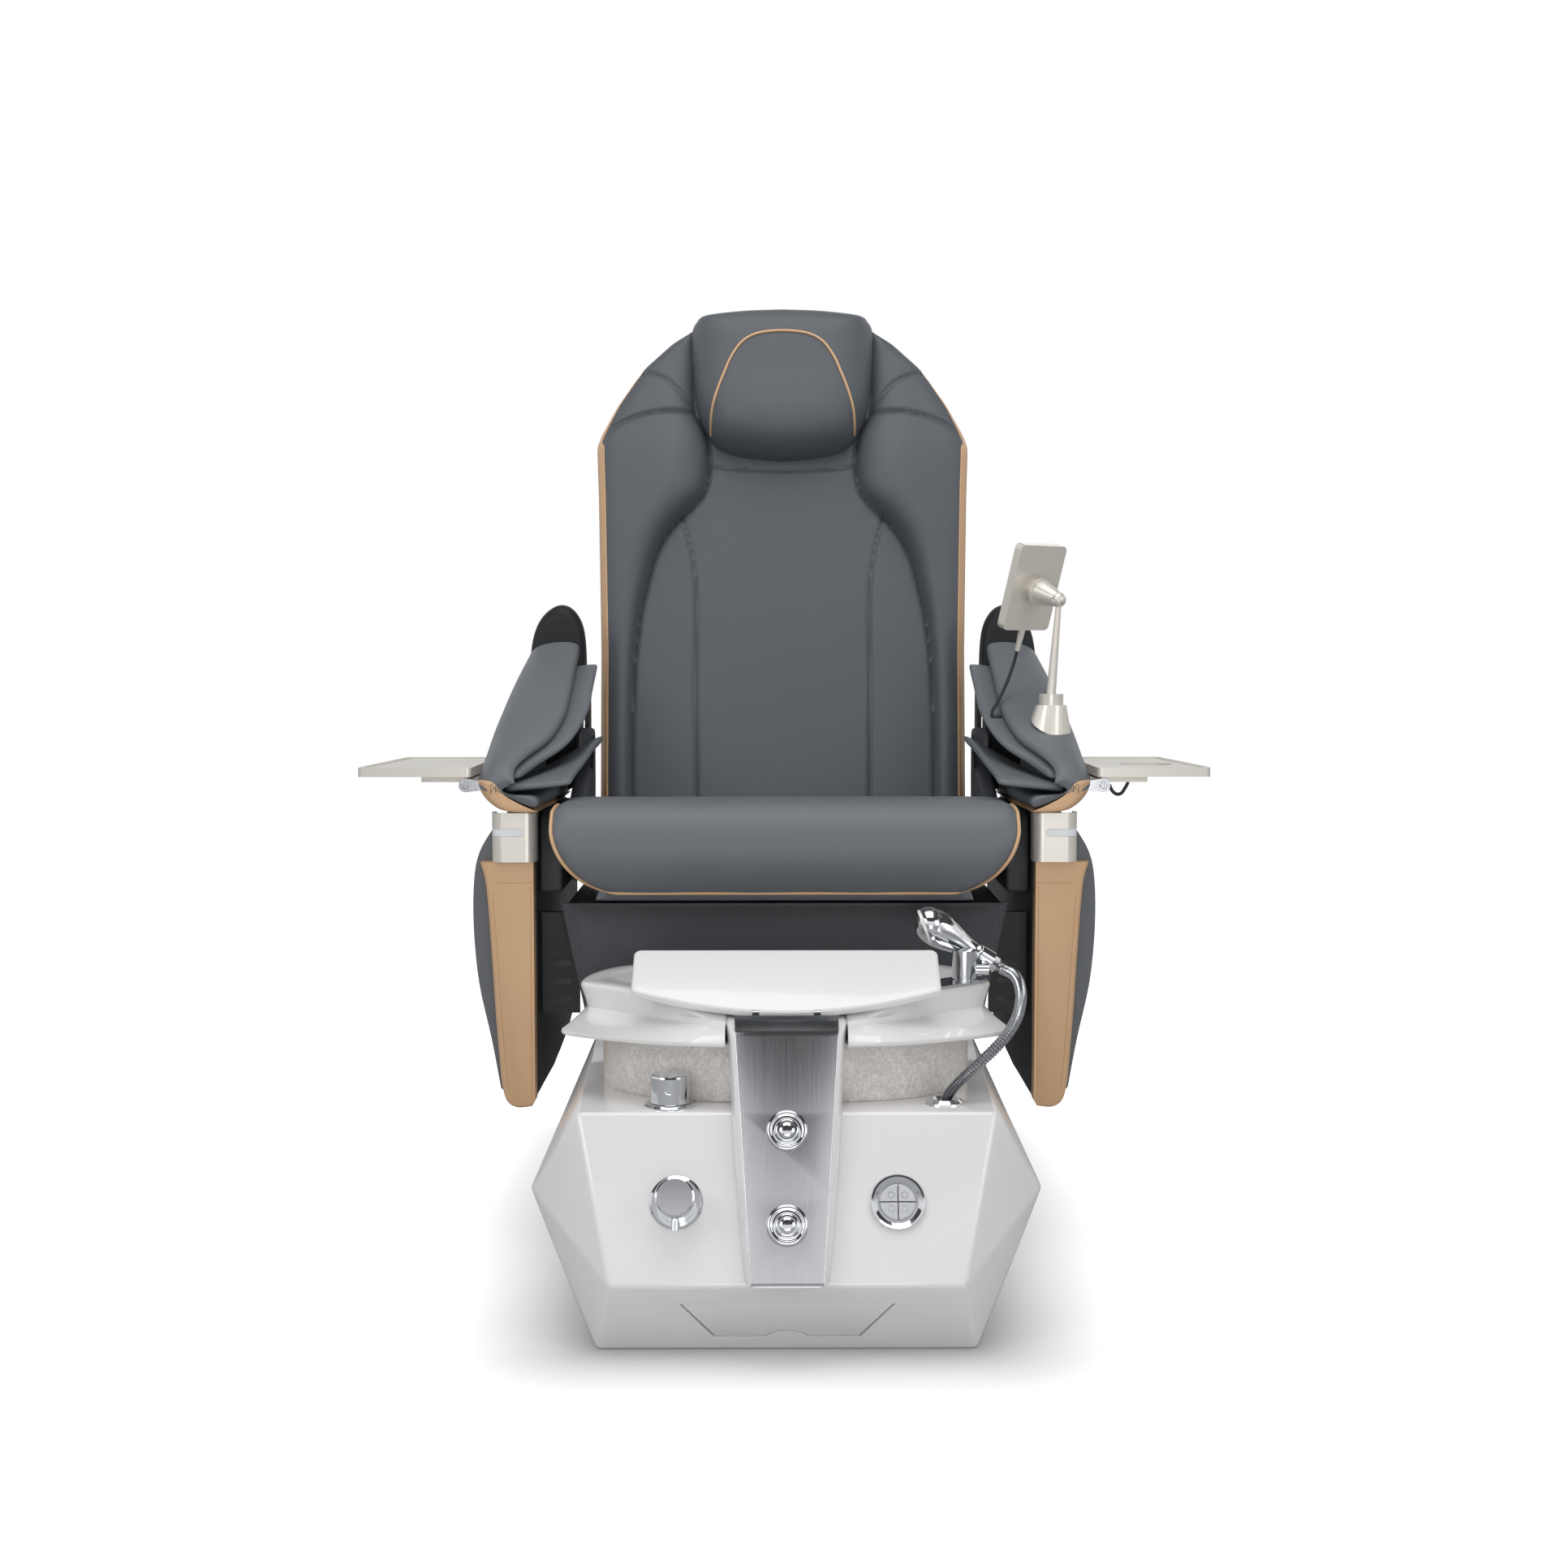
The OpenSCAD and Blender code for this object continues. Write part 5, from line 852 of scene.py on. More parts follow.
def apron_half(z):
    """Half the apron's width at a height, drawn in at its rounded foot."""
    foot = 48 * ((318 - z) / 16) ** 2 if z < 318 else 0
    return 278 + 38 * min(max((z - 318) / 178, 0), 1) - foot


rings = []
for j in range(49):
    z = apron_low + (apron_high - apron_low) * j / 48
    half = apron_half(z)
    row = []
    for i in range(97):
        s = 2 * i / 96 - 1
        x = s * half
        edge = min(half - abs(x), z - 302)
        puff = 4.5 * (1 - math.exp(-edge / 9)) + 1.6 * math.sin(x / 64) * math.sin((z - 300) / 60) \
            + 2.0 * math.exp(-((abs(x) - 205) / 30) ** 2) * math.sin((z - 300) / 45)
        puff -= groove(edge - 15, 2.2, 2.6)
        row.append((x, -118 - 5.5 - puff, z))
    rings.append(row + [(x * 0.997, -117.3, z) for x, y, z in reversed(row)])
apron = show("apron_panel", loft("apron_panel", rings), charcoal, 60)
fit(apron, "dark_leather", "base", "apron", fill=0.3)
border = [(11 - apron_half(z), -131.2, z) for z in range(490, 329, -8)]
border += [(-262 + 8 * k, -131.2, 318) for k in range(1, 65)]
border += [(-x, y, z) for x, y, z in reversed(border[:21])]
stitches("apron_stitching", [border], "base", "dark_leather", slate_thread)

# ---------------------------------------------------------------- seat
# Two foam cushions in slate leathercloth: the seat between the arms, and the front roll, whose face is
# bordered by bronze piping. Charcoal cheeks, darker than the seat's slate as painted shade, close the gap to
# the arms.


def grid_faces(rows, columns):
    """Faces over points that are laid row by row, one more in each than there are columns."""
    n = columns + 1
    return [(j * n + i, j * n + i + 1, (j + 1) * n + i + 1, (j + 1) * n + i)
            for j in range(rows) for i in range(columns)]


def grid_border(rows, columns):
    """The points once round the border of such a grid."""
    n = columns + 1
    return list(range(n)) + [j * n + columns for j in range(1, rows + 1)] \
        + [rows * n + i for i in range(columns - 1, -1, -1)] + [j * n for j in range(rows - 1, 0, -1)]


def skirt(loop, start):
    """Faces from a closed loop of points down to the next loop, whose points begin at start."""
    m = len(loop)
    return [(loop[(i + 1) % m], loop[i], start + i, start + (i + 1) % m) for i in range(m)]


def rounded(mesh, levels=2):
    """Rounds a coarse cage by subdivision."""
    return finished(mesh.name, mesh, ("SUBSURF", {"levels": levels, "render_levels": levels}))


def upright(mesh, side=1):
    """Stands a block on edge whose outline was drawn as (y, z), so that its height runs out to one side."""
    mesh.transform(Matrix(((0, 0, side, 0), (1, 0, 0, 0), (0, 1, 0, 0), (0, 0, 0, 1))))
    if side < 0:
        mesh.flip_normals()
    return mesh


roll_y, roll_z, roll_deep, roll_high = -151, 574.5, 62, 69.0


def seat_half(v):
    """Half width of the roll at profile place v: 0 at the bottom piping, 1 at the crown of the top."""
    return 322 - 66 * (1 - min(v / 0.62, 1)) ** 2.0 - 6 * max(v - 0.8, 0) / 0.2


columns = 120
across = [2 * i / columns - 1 for i in range(columns + 1)]
skin = []
pipe_line = []
for k in range(41):
    v = k / 40
    a = math.radians(-58 + (90 + 58) * k / 40)
    y, z = roll_y - roll_deep * math.cos(a), roll_z + roll_high * math.sin(a)
    half = seat_half(v)
    normal = Vector((0, y - roll_y, z - roll_z)).normalized()
    row = []
    for s in across:
        sink = 9 * math.exp(-(1 - abs(s)) * half / 7)
        wrinkle = 0.5 * math.sin(s * half / 23 + 3 * v) * math.sin(5 * v + 1) * (1 - v)
        row.append((s * half, y - normal.y * (sink + wrinkle), z - normal.z * (sink + wrinkle)))
    skin.append(row)
    pipe_line.append((half, y - (y - roll_y) / roll_deep * 7, z - (z - roll_z) / roll_high * 7))
for y, drop in ((-130, 0), (-105, 0), (-80, 0), (-62, 3.5), (-56, 9)):
    crown = roll_z + roll_high - drop
    skin.append([(316 * s, y, crown - 9 * math.exp(-(1 - abs(s)) * 316 / 7)) for s in across])
rear_row = skin[-1]
for inset, y, z in ((1, -56, 600), (0.98, -56, 560), (0.86, -56, 504), (0.84, -62, 502), (0.84, -120, 502),
                    (0.83, -165, 503.5), (0.83, -178, 507.5)):
    skin.append([(p[0] * inset, y, z) for p in rear_row])
n = columns + 1
total = len(skin) * n
points = [p for row in skin for p in row]
faces = grid_faces(len(skin) - 1, columns)
faces += [(total - n + i, total - n + i + 1, i + 1, i) for i in range(columns)]
faces += [tuple(range(0, total, n)), tuple(range(total - 1, 0, -n))]
roll_mesh = mesh_from("seat_front_roll", points, faces)
roll = show("seat_front_roll", roll_mesh, slate, 50)
fit(roll, "grey_leather", "seat", "seat_roll", fill=0.8)

# Bronze piping: a cord wrapped in bronze cloth, sewn into the seam round the face of the roll.
right = [Vector(p) for p in pipe_line]
corner = right[0]
bottom = []
for k in range(1, 60):
    x = corner.x * (1 - 2 * k / 60)
    t = min((corner.x - abs(x)) / 20, 1)
    bottom.append(Vector((x, corner.y - 3.7 * t, corner.z - 5.5 * t)))
line = [Vector((p.x + 0.5, p.y, p.z)) for p in reversed(right)] + bottom \
    + [Vector((-p.x - 0.5, p.y, p.z)) for p in right]
piping = show("seat_piping", loft("seat_piping", cross_rings(line, 2.7, 14)), bronze, 60)
fit(piping, "bronze_leather", "seat")

# The cushion's top slopes to the rear and is pulled in by a seam along each side.
cushion_half, cushion_front, cushion_deep, cushion_middle = 290, -49, 270, 86
points = []
for j in range(61):
    t = j / 60
    y = cushion_front + cushion_deep * t
    for i in range(81):
        x = cushion_half * (2 * i / 80 - 1)
        edge = min(cushion_half - abs(x), y + 50, 222 - y)
        seam = groove(abs(x) - 168, 4, 4) * (1 if edge > 20 else 0.3)
        points.append((x, y, 634 - 22 * t - 24 * math.exp(-edge / 13) + 1.5 * math.cos(x / 200) - seam))
faces = grid_faces(60, 80)
border = previous = grid_border(60, 80)
for z, inset in ((590, 0.994), (530, 0.99), (508, 0.98), (501.6, 0.955)):
    start = len(points)
    for x, y, top in [points[v] for v in border]:
        points.append((x * inset, cushion_middle + (y - cushion_middle) * inset, z))
    faces += skirt(previous, start)
    previous = list(range(start, len(points)))
faces.append(tuple(reversed(previous)))
cushion = show("seat_cushion_cover", mesh_from("seat_cushion_cover", points, faces), slate, 50)
fit(cushion, "grey_leather", "seat", "seat_cushion", fill=0.8)

cheeks = []
cheek_outline = [(-46, 503), (198, 503), (198, 720), (190, 733), (176, 733), (168, 718), (160, 684),
                 (145, 675), (60, 664), (-30, 618), (-46, 600)]
for side in (-1, 1):
    rings = []
    for x, inset in ((291.6, 7), (293, 3), (297, 0.6), (304, 0), (311, 0.6), (314.5, 3), (316, 7)):
        middle = Vector((90, 610))
        ring = []
        for y, z in cheek_outline:
            d = (middle - Vector((y, z))).normalized() * inset
            ring.append((side * x, y + d.x, z + d.y))
        rings.append(ring if side > 0 else ring[::-1])
    cheeks.append(rounded(loft("cheek", rings)))
    gusset_outline = [(-92, 507), (190, 507), (190, 623), (-60, 623), (-84, 616), (-92, 600)]
    gusset = upright(prism("gusset", gusset_outline, 317, 349.8), side)
    cheeks.append(finished("gusset", gusset, ("BEVEL", {"width": 0.005, "segments": 4})))
# The cheeks' charcoal is painted shade in the gap; their cloth has the seat's slate tone.
cheek = show("seat_cheeks", joined("seat_cheeks", cheeks), charcoal, 60)
fit(cheek, "dark_leather", "seat", "seat_sides", fill=0.6)

# ---------------------------------------------------------------- side panels
# Padded wing panels hang outside the frame. Slate cloth wraps the outside, a bronze strip faces the front
# edge, and a champagne bracket with a light strip caps each strip.

side_in, side_low, side_top = 352, 206, 625.6


def panel_ring(y, low, out, top):
    """A panel's section at y, up from its foot, with the swell of its outside."""
    k = (top - low) / 417
    swell = [(out - 17, 92), (out, 172), (out + 7, 250), (out + 6, 318), (out - 2, 358), (out - 22, 392)]
    line = [(side_in, top), (side_in + 0.4, (top + low) / 2), (side_in, low + 14), (side_in + 6, low + 3),
            (side_in + 28, low), (min(side_in + 52, out - 24), low + 22)]
    line += [(x, low + rise * k) for x, rise in swell] + [(out - 36, top - 8), (out - 46, top)]
    return [Vector((x, y, z)) for x, z in line]


def sided(points, side):
    """Points of the right side, or their mirror images on the left."""
    return [Vector((side * p.x, p.y, p.z)) for p in points]


panel_stations = [(-119.4, 208.5, 433.5, 625.2), (-99, 206.5, 436, 625.6), (-60, 206, 437.5, 625.6),
                  (10, 206, 438, 625.6), (110, 206, 438, 625.6), (220, 210, 436, 625.6),
                  (330, 220, 430, 613.6), (420, 238, 419, 588), (475, 256, 406, 560), (505, 270, 394, 536)]
for side, name in ((-1, "left"), (1, "right")):
    rings = [sided(panel_ring(*station), side) for station in panel_stations]
    lengthways = [spline(line, 5) for line in zip(*rings)]
    rings = [ring[:5] + tuple(spline(ring[5:], 4)) for ring in zip(*lengthways)]
    if side > 0:
        rings = [ring[::-1] for ring in rings]
    mesh = finished("panel", loft("panel", rings, flat=True), ("BEVEL", bevel(0.004, 4, 50)))
    panel = show("side_panel_cover_" + name, mesh, slate, 50)
    fit(panel, "grey_leather", "seat", "side_panel_" + name[0], fill=0.5)

# A sheet of black-grey cloth on each panel's inner face is painted shade: it keeps the gap beside the frame
# dark.
painted_shade_outline = [(-118, 224), (100, 221), (330, 236), (430, 256), (500, 284), (500, 540), (430, 584),
                  (330, 612), (200, 624), (-118, 624)]
painted_shade_sheets = [upright(prism("painted_shade_sheet", painted_shade_outline, *sorted((side * (side_in - 1.6), side * (side_in - 0.2)))))
           for side in (-1, 1)]
painted_shade_sheet = show("side_panel_painted_shade_sheets", joined("side_panel_painted_shade_sheets", painted_shade_sheets), shadow_black, 50)
fit(painted_shade_sheet, "dark_leather", "seat")

bracket_low = side_top - 69


def trim_ring(y, k):
    """A strip's outline, drawn in by k where its front edge is rounded over."""
    top = bracket_low - 0.4
    line = [(0, top), (0, side_low + 12), (5, side_low + 3 + k * 0.5), (26, side_low + 1 + k),
            (41 - k * 0.6, side_low + 11 + k * 0.5), (48 - k, side_low + 36), (51 - k, side_low + 68),
            (56 - k, side_low + 134), (62 - k, side_low + 234), (68 - k, side_low + 316), (76 - k, top)]
    line = [Vector((side_in + x, y, z)) for x, z in line]
    corner = spline([line[0].lerp(line[1], 0.98), line[1], line[2]], 3)
    return [line[0]] + corner[1:] + spline(line[2:], 5)[1:]


trims = []
seams = []
for side in (-1, 1):
    rings = [sided(trim_ring(*s), side)
             for s in ((-120, 0), (-140, 0.3), (-145, 1.0), (-148, 2.2), (-149.7, 4), (-150, 5.5))]
    if side < 0:
        rings = [ring[::-1] for ring in rings]
    trims.append(loft("trim", rings, flat=True))
    seams.append([Vector((side * (p.x - 4.0), -150.2, p.z)) for p in trim_ring(-150, 5.5)[20:-6]])
    seams.append([Vector((side * (side_in + 4.5), -150.3, z)) for z in range(220, 524, 6)])
    seams.append([Vector((side * x, -150.3, 527)) for x in range(side_in + 3, side_in + 56, 5)])
trim = show("bronze_edge_strips", joined("bronze_edge_strips", trims), bronze, 50)
fit(trim, "bronze_leather", "seat", "side_trims", fill=0.4)
stitches("edge_strip_stitching", seams, "seat", "bronze_leather", bronze_thread, 5.0, 3.4, 0.5)

# Champagne anodised look on ABS: a fine metallic lacquer with a satin coat.
champagne, tree, shader, place = mottled("champagne_metallic_lacquer", "#dad5cb", "#e6e1d8", 1800.0, 0.3)
shader.inputs["Metallic"].default_value = 0.4
shader.inputs["Coat Weight"].default_value = 0.3
shader.inputs["Coat Roughness"].default_value = 0.15
for node in ("arm_brackets", "tray_l", "tray_r", "remote_mount", "remote_mast", "remote_head"):
    paint(node, champagne)

# Opal acrylic light strip: milky, with a gentle glow.
opal, tree, shader, place = new_material("opal_acrylic_strip")
shader.inputs["Base Color"].default_value = linear("#dfe1e5")
shader.inputs["Roughness"].default_value = 0.25
shader.inputs["Emission Color"].default_value = linear("#ffffff")
shader.inputs["Emission Strength"].default_value = 0.04
paint("led_lights", opal)

# ---------------------------------------------------------------- arms
# Each arm is a padded C that the forearm lies in. Slate cloth covers it, a bronze-covered shell cups its
# foot, and two airbag leaves fold out of it. A domed fin at the rear hides the pivot.


def table(y, pairs):
    """A value read off a list of (place, value) pairs, straight between them."""
    if y <= pairs[0][0]:
        return pairs[0][1]
    for (a, b), (c, d) in zip(pairs, pairs[1:]):
        if y <= c:
            return b + (d - b) * (y - a) / (c - a)
    return pairs[-1][1]


arm_out = [(-164, 417), (-152, 427), (-130, 430), (-25, 424), (106, 412), (205, 398), (262, 392)]
arm_in = [(-164, 374), (-148, 381), (-103, 362), (-69, 336), (-45, 329), (0, 318), (205, 316)]
arm_top = [(-164, 674), (-152, 689), (-103, 716), (0, 770), (205, 868)]
arm_lip = [(-164, 12), (-100, 20), (205, 34)]
arm_shell = [(-164, 46), (-130, 47), (-25, 48), (262, 48)]
arm_low = side_top + 0.8
arm_ledge = arm_low + 24


def arm_foot_in(y):
    """Where the inner edge of the arm's foot is."""
    return 344 - 8 * (y + 164) / 164 if y < 0 else 336


def arm_section(y, shrink=0.0):
    """The C as pairs of outer and inner points, from the tip of the top pad round to the lower limb."""
    xo, xi, zt = table(y, arm_out), table(y, arm_in), table(y, arm_top)
    zu, sh = zt - table(y, arm_lip), table(y, arm_shell)
    xp, xl = xo - 28, arm_foot_in(y)
    w, h, gap = xo - xi, zt - arm_low, zt - table(y, arm_lip) - arm_ledge
    pairs = [((xi, zt - 8), (xi + 2, zu + 6)), ((xi + 6, zt - 1.5), (xi + 9, zu)),
             ((xi + 0.35 * w, zt + 0.5), (xi + 0.3 * w, zu)), ((xi + 0.7 * w, zt - 3), (xp - 15, zu)),
             ((xo - 9, zt - min(11, h * 0.16)), (xp - 3, zu - min(4, gap * 0.2))),
             ((xo, zt - min(27, h * 0.33)), (xp, zu - min(16, gap * 0.4))),
             ((xo + 2.5, arm_low + h * 0.55), (xp, arm_ledge + gap * 0.5)),
             ((xo + 1.5, arm_low + sh), (xp, arm_ledge + min(14, gap * 0.4))),
             ((xo - 10, arm_low + sh * 0.72), (xp - 4, arm_ledge + min(4, gap * 0.15))),
             ((xo - 22, arm_low + sh * 0.6), (xp - 16, arm_ledge)),
             ((xo - 40, arm_low + sh * 0.4), (xl + 16, arm_ledge)),
             ((xl + 5, arm_low + 4), (xl + 5, arm_ledge - 1)), ((xl, arm_low + 9), (xl, arm_ledge - 7))]
    out = []
    for a, b in pairs:
        a, b = Vector((a[0], y, a[1])), Vector((b[0], y, b[1]))
        m = (a + b) / 2
        out.append((a.lerp(m, shrink), b.lerp(m, shrink)))
    return out


def arm_mesh(side):
    """The padded C as a coarse cage, rounded. Strips of faces across the C close its ends."""
    sections = [arm_section(-163.6, 0.28), arm_section(-161, 0.1), arm_section(-156)] \
        + [arm_section(y) for y in (-140, -120, -100, -80, -60, -40, -15, 15, 50, 90, 130, 170, 198, 205)]
    rings = [sided([a for a, b in s] + [b for a, b in reversed(s)], side) for s in sections]
    n = len(rings[0])
    points = [p for ring in rings for p in ring]
    faces = [(k * n + i, k * n + (i + 1) % n, (k + 1) * n + (i + 1) % n, (k + 1) * n + i)
             for k in range(len(rings) - 1) for i in range(n)]
    last = (len(rings) - 1) * n
    for i in range(n // 2 - 1):
        faces.append((n - 1 - i, n - 2 - i, i + 1, i))
        faces.append((last + i, last + i + 1, last + n - 2 - i, last + n - 1 - i))
    if side < 0:
        faces = [f[::-1] for f in faces]
    return rounded(mesh_from("arm", points, faces))


fin_dome = [(311, 800), (310.5, 846), (312.5, 884), (319, 903), (331, 919), (346, 925), (362, 920),
            (378, 906), (389, 886), (395, 858), (397, 820)]


def fin_mesh(side):
    """The domed fin: rings from front to rear, drawn in by k at both ends, whose foot is at zl."""
    rings = []
    for y, k, zl in ((204, 0.86, 700), (208, 0.95, 660), (216, 0.99, arm_low), (230, 1.0, arm_low),
                     (246, 1.0, arm_low), (262, 0.985, arm_low + 2), (276, 0.95, 700), (287, 0.89, 740),
                     (295, 0.8, 780)):
        dome = [(353 + (x - 353) * (0.4 + 0.6 * k), 640 + (z - 640) * k) for x, z in fin_dome]
        low = [(394, zl + 80), (390, zl + 28), (374, zl + 14), (357, zl + 7), (340, zl + 3), (325.2, zl + 12),
               (325.2, (zl + 780) / 2), (325.2, min(786, 640 + 146 * k))]
        ring = [Vector((side * x, y, z)) for x, z in dome + low]
        rings.append(ring if side > 0 else ring[::-1])
    return rounded(loft("fin", rings))


def leaf_half(middle):
    """Half a leaf's section: how thick it is at each place across it, from 0 to 1."""
    return (0.0, 0.35), (0.03, 0.8), (0.1, 1.0), (0.5, middle), (0.9, 1.0), (0.97, 0.8), (1.0, 0.35)


def leaf_mesh(side, stations, thick):
    """A flat airbag leaf: y, outer x and z, inner x and z, with rounded, drawn-in edges."""
    rings = []
    lines = [spline([(x0, y, z0) for y, x0, z0, x1, z1 in stations], 4),
             spline([(x1, y, z1) for y, x0, z0, x1, z1 in stations], 4)]
    ends = len(lines[0]) - 1
    for k, (a, b) in enumerate(zip(*lines)):
        across = b - a
        normal = Vector((across.z, 0, -across.x)).normalized()
        if normal.z < 0:
            normal = -normal
        t = thick / 2 * (0.45, 0.85, 1.0)[min(k, ends - k, 2)]
        ring = [a.lerp(b, at) + normal * t * swell for at, swell in leaf_half(1.12)]
        ring += [a.lerp(b, at) - normal * t * swell for at, swell in reversed(leaf_half(1.05))]
        ring = sided(ring, side)
        rings.append(ring[::-1] if side > 0 else ring)
    return rounded(loft("leaf", rings), 1)


def shell_mesh(side):
    """The bronze-covered cup under the arm, drawn in a little at its front end."""
    rings = []
    for y in (-163.8, -161, -154, -130, -95, -60, -25, 20, 60, 106, 160, 205, 250, 262):
        grow = {-163.8: -3, -161: -0.6}.get(y, 0)
        xo, sh, xl = table(y, arm_out), table(y, arm_shell), arm_foot_in(y)
        line = [(xo + 2.4 + grow, sh - 1), (xo - 13, sh - 1), (xo - 21, sh * 0.66), (xo - 34, sh * 0.42),
                (xl + 4, 2.4), (xl, 1.4), (xl + 3, 0.2), (xo - 34, 0.4), (xo - 22, sh * 0.12 + 1),
                (xo - 9, sh * 0.36), (xo + grow, sh * 0.66), (xo + 2 + grow, sh - 4)]
        ring = [Vector((side * x, y, arm_low + rise)) for x, rise in line]
        rings.append(ring[::-1] if side > 0 else ring)
    return rounded(loft("shell", rings))


lower_stations = [(-150, 391, 658.6, 299, 667), (-100, 389, 660, 296, 678), (-40, 386, 661, 290, 690),
                  (60, 376, 662, 283, 708), (150, 366, 664, 275, 721)]
ear_outline = [(-32, -6), (0, -10), (6, -8), (9.5, -3), (9.5, 3), (6, 8), (0, 10), (-32, 4)]
pin_profile = [(0.5, -152.5), (4.2, -152.5), (5, -151.5), (5, 121), (4.2, 121.5), (0.5, 121.5)]
pin_turn = Matrix.Rotation(math.radians(-90), 4, "X")
pin_x, pin_z = 0.446, 0.664
for side, name in ((-1, "left"), (1, "right")):
    letter = name[0]
    body = "arm_" + name
    pad = show("arm_pad_" + name, arm_mesh(side), slate, 60)
    fit(pad, "grey_leather", body, "arm_body_" + letter, fill=0.7)
    # The fin's black-grey is partly its own dark cloth and partly painted shade.
    fin = show("arm_fin_" + name, fin_mesh(side), shadow_black, 60)
    fit(fin, "dark_leather", body, "arm_body_" + letter, fill=0.7)

    cup = show("arm_shell_" + name, shell_mesh(side), bronze, 60)
    angles = [math.pi * i / 16 for i in range(1, 16)]
    plate_arc = [(235 + 27 * math.cos(a), 800 + 27 * math.sin(a)) for a in angles]
    plate = [(208, arm_low + 1), (262, arm_low + 1), (262, 800)] + plate_arc + [(208, 800)]
    hinge = show("arm_hinge_plates_" + name, upright(prism("plate", plate, 317, 324), side), powder_coat, 40)
    tray_hinge = []
    for y in (-150, 120):
        ear = prism("ear", ear_outline, 0, 8)
        ear.transform(Matrix(((side, 0, 0, side * pin_x), (0, 0, 1, y * 0.001), (0, 1, 0, pin_z),
                              (0, 0, 0, 1))))
        if side > 0:
            ear.flip_normals()
        tray_hinge.append(ear)
    tray_hinge.append(spin("pin", pin_profile, pin_turn, (side * 446, 0, 664), 32))
    ears = show("tray_hinge_" + name, joined("tray_hinge_" + name, tray_hinge), brushed, 40)
    for piece in (hinge, ears, cup):
        fit(piece, "bronze_leather", body, "arm_frame_" + letter)

    lower = leaf_mesh(side, lower_stations, 13)
    upper_stations = []
    for y in (-138, -100, -60, -20, 40, 100, 150, 190):
        zu = table(y, arm_top) - table(y, arm_lip)
        reach = 4 + 24 * min(max((y + 138) / 160, 0), 1)
        rise = 8 * min(max((y + 138) / 200, 0), 1)
        upper_stations.append((y, table(y, arm_out) - 34, zu - 7.5, table(y, arm_in) - reach, zu - 6 + rise))
    upper = leaf_mesh(side, upper_stations, 11)
    leaves = show("arm_leaves_" + name, joined("arm_leaves_" + name, [lower, upper]), slate, 60)
    fit(leaves, "dark_leather", body, "arm_flaps_" + letter, fill=0.4)

    rows = []
    for inset in (0.3, 0.62):
        line = [a.lerp(b, inset) for a, b in arm_section(-163.6, 0.28)]
        rows.append(spline([(side * p.x, p.y - 0.6, p.z) for p in line], 6))
    stitches("arm_gusset_stitching_" + name, rows, body, "grey_leather", slate_thread, 4.2, 2.9, 0.4)

# ---------------------------------------------------------------- backrest
# One padded back in slate cloth: a flat centre, sewn side channels, full shoulder wings and a loose head
# pillow edged with a bronze arch. A bronze binding runs round its outline. It leans on a closed rear shell.

lean_back = math.radians(16.1)


def on_back(x, y, z):
    """A point of the backrest's own frame: across, back from its face, and up its slope."""
    c, s = math.cos(lean_back), math.sin(lean_back)
    return Vector((x, 233 + y * c + z * s, 562 - y * s + z * c))


back_width = [(0, 262), (12, 284), (24, 288), (300, 291), (560, 299), (640, 303), (655, 302), (720, 271),
              (788, 229), (832, 184), (856, 146), (878, 112)]
wing_edge = [(0, 242), (177, 242), (285, 239), (360, 232), (448, 213), (492, 194), (526, 166), (550, 140),
             (573, 125), (615, 120), (665, 123), (684, 134), (704, 146), (878, 150)]
wing_full = [(0, 8), (110, 17), (240, 24), (360, 30), (440, 36), (510, 43), (570, 47), (630, 44), (680, 34),
             (740, 22), (800, 11), (878, 4)]


def smooth_table(y, pairs, reach=14):
    """A value read off such a list, with its corners rounded over a reach."""
    return sum(table(y + k * reach / 3, pairs) for k in (-3, -2, -1, 0, 1, 2, 3)) / 7


def to_line(x, z, line):
    """The distance from a point to a line of points on the backrest's face."""
    best = 1e9
    for (ax, az), (bx, bz) in zip(line, line[1:]):
        dx, dz = bx - ax, bz - az
        t = min(max(((x - ax) * dx + (z - az) * dz) / (dx * dx + dz * dz), 0), 1)
        best = min(best, math.hypot(x - ax - t * dx, z - az - t * dz))
    return best


def finer(line, steps):
    """A flat line made smooth, with that many steps between each pair of points."""
    return [(p.x, p.y) for p in spline([(x, z, 0) for x, z in line], steps)]


wing_line = [(smooth_table(z, wing_edge), z) for z in range(0, 704, 8)]
channel_line = finer([(137, 0), (138, 120), (140, 249), (139, 378), (148, 466), (166, 526)], 6)
neck_line = [(0, 606), (40, 607), (80, 609), (119, 613)]
shoulder_low = finer([(146, 701), (219, 696), (268, 680), (300, 656)], 5)
shoulder_high = finer([(145, 711), (179, 747), (205, 766), (240, 780)], 5)


def back_depth(x, z):
    """How far the cover stands proud of the backrest's face plane, in millimetres."""
    x = abs(x)
    half = smooth_table(z, back_width, 5)
    inner = smooth_table(z, wing_edge)
    depth = 5.0 + 5.0 * math.cos(min(x / 150, 1.5))
    if z < 520 and x > 138:
        depth += 3.0 * math.sin(math.pi * min((x - 138) / max(inner - 138, 30), 1))
    if x > inner:
        s = (x - inner) / max(half - inner, 1)
        rise = (1 - (1 - min(s / 0.5, 1)) ** 2.6) ** 0.62
        fall = 1 - 0.52 * max(s - 0.3, 0) ** 1.4 / 0.7 ** 1.4
        depth += smooth_table(z, wing_full, 20) * rise * fall
    depth -= groove(to_line(x, z, wing_line), 4.6, 5.5) + groove(to_line(x, z, channel_line), 3.4, 4.6)
    depth -= groove(to_line(x, z, neck_line), 3.2, 3.6) + groove(to_line(x, z, shoulder_low), 4.4, 6.5)
    depth -= groove(to_line(x, z, shoulder_high), 4.0, 5.0)
    edge = min(half - x, (878 - z) * 0.9 + 6, z + 4)
    if edge < 30:
        depth -= 17 * (1 - math.sqrt(max(1 - (1 - max(edge, 0) / 30) ** 2, 0)))
    return depth


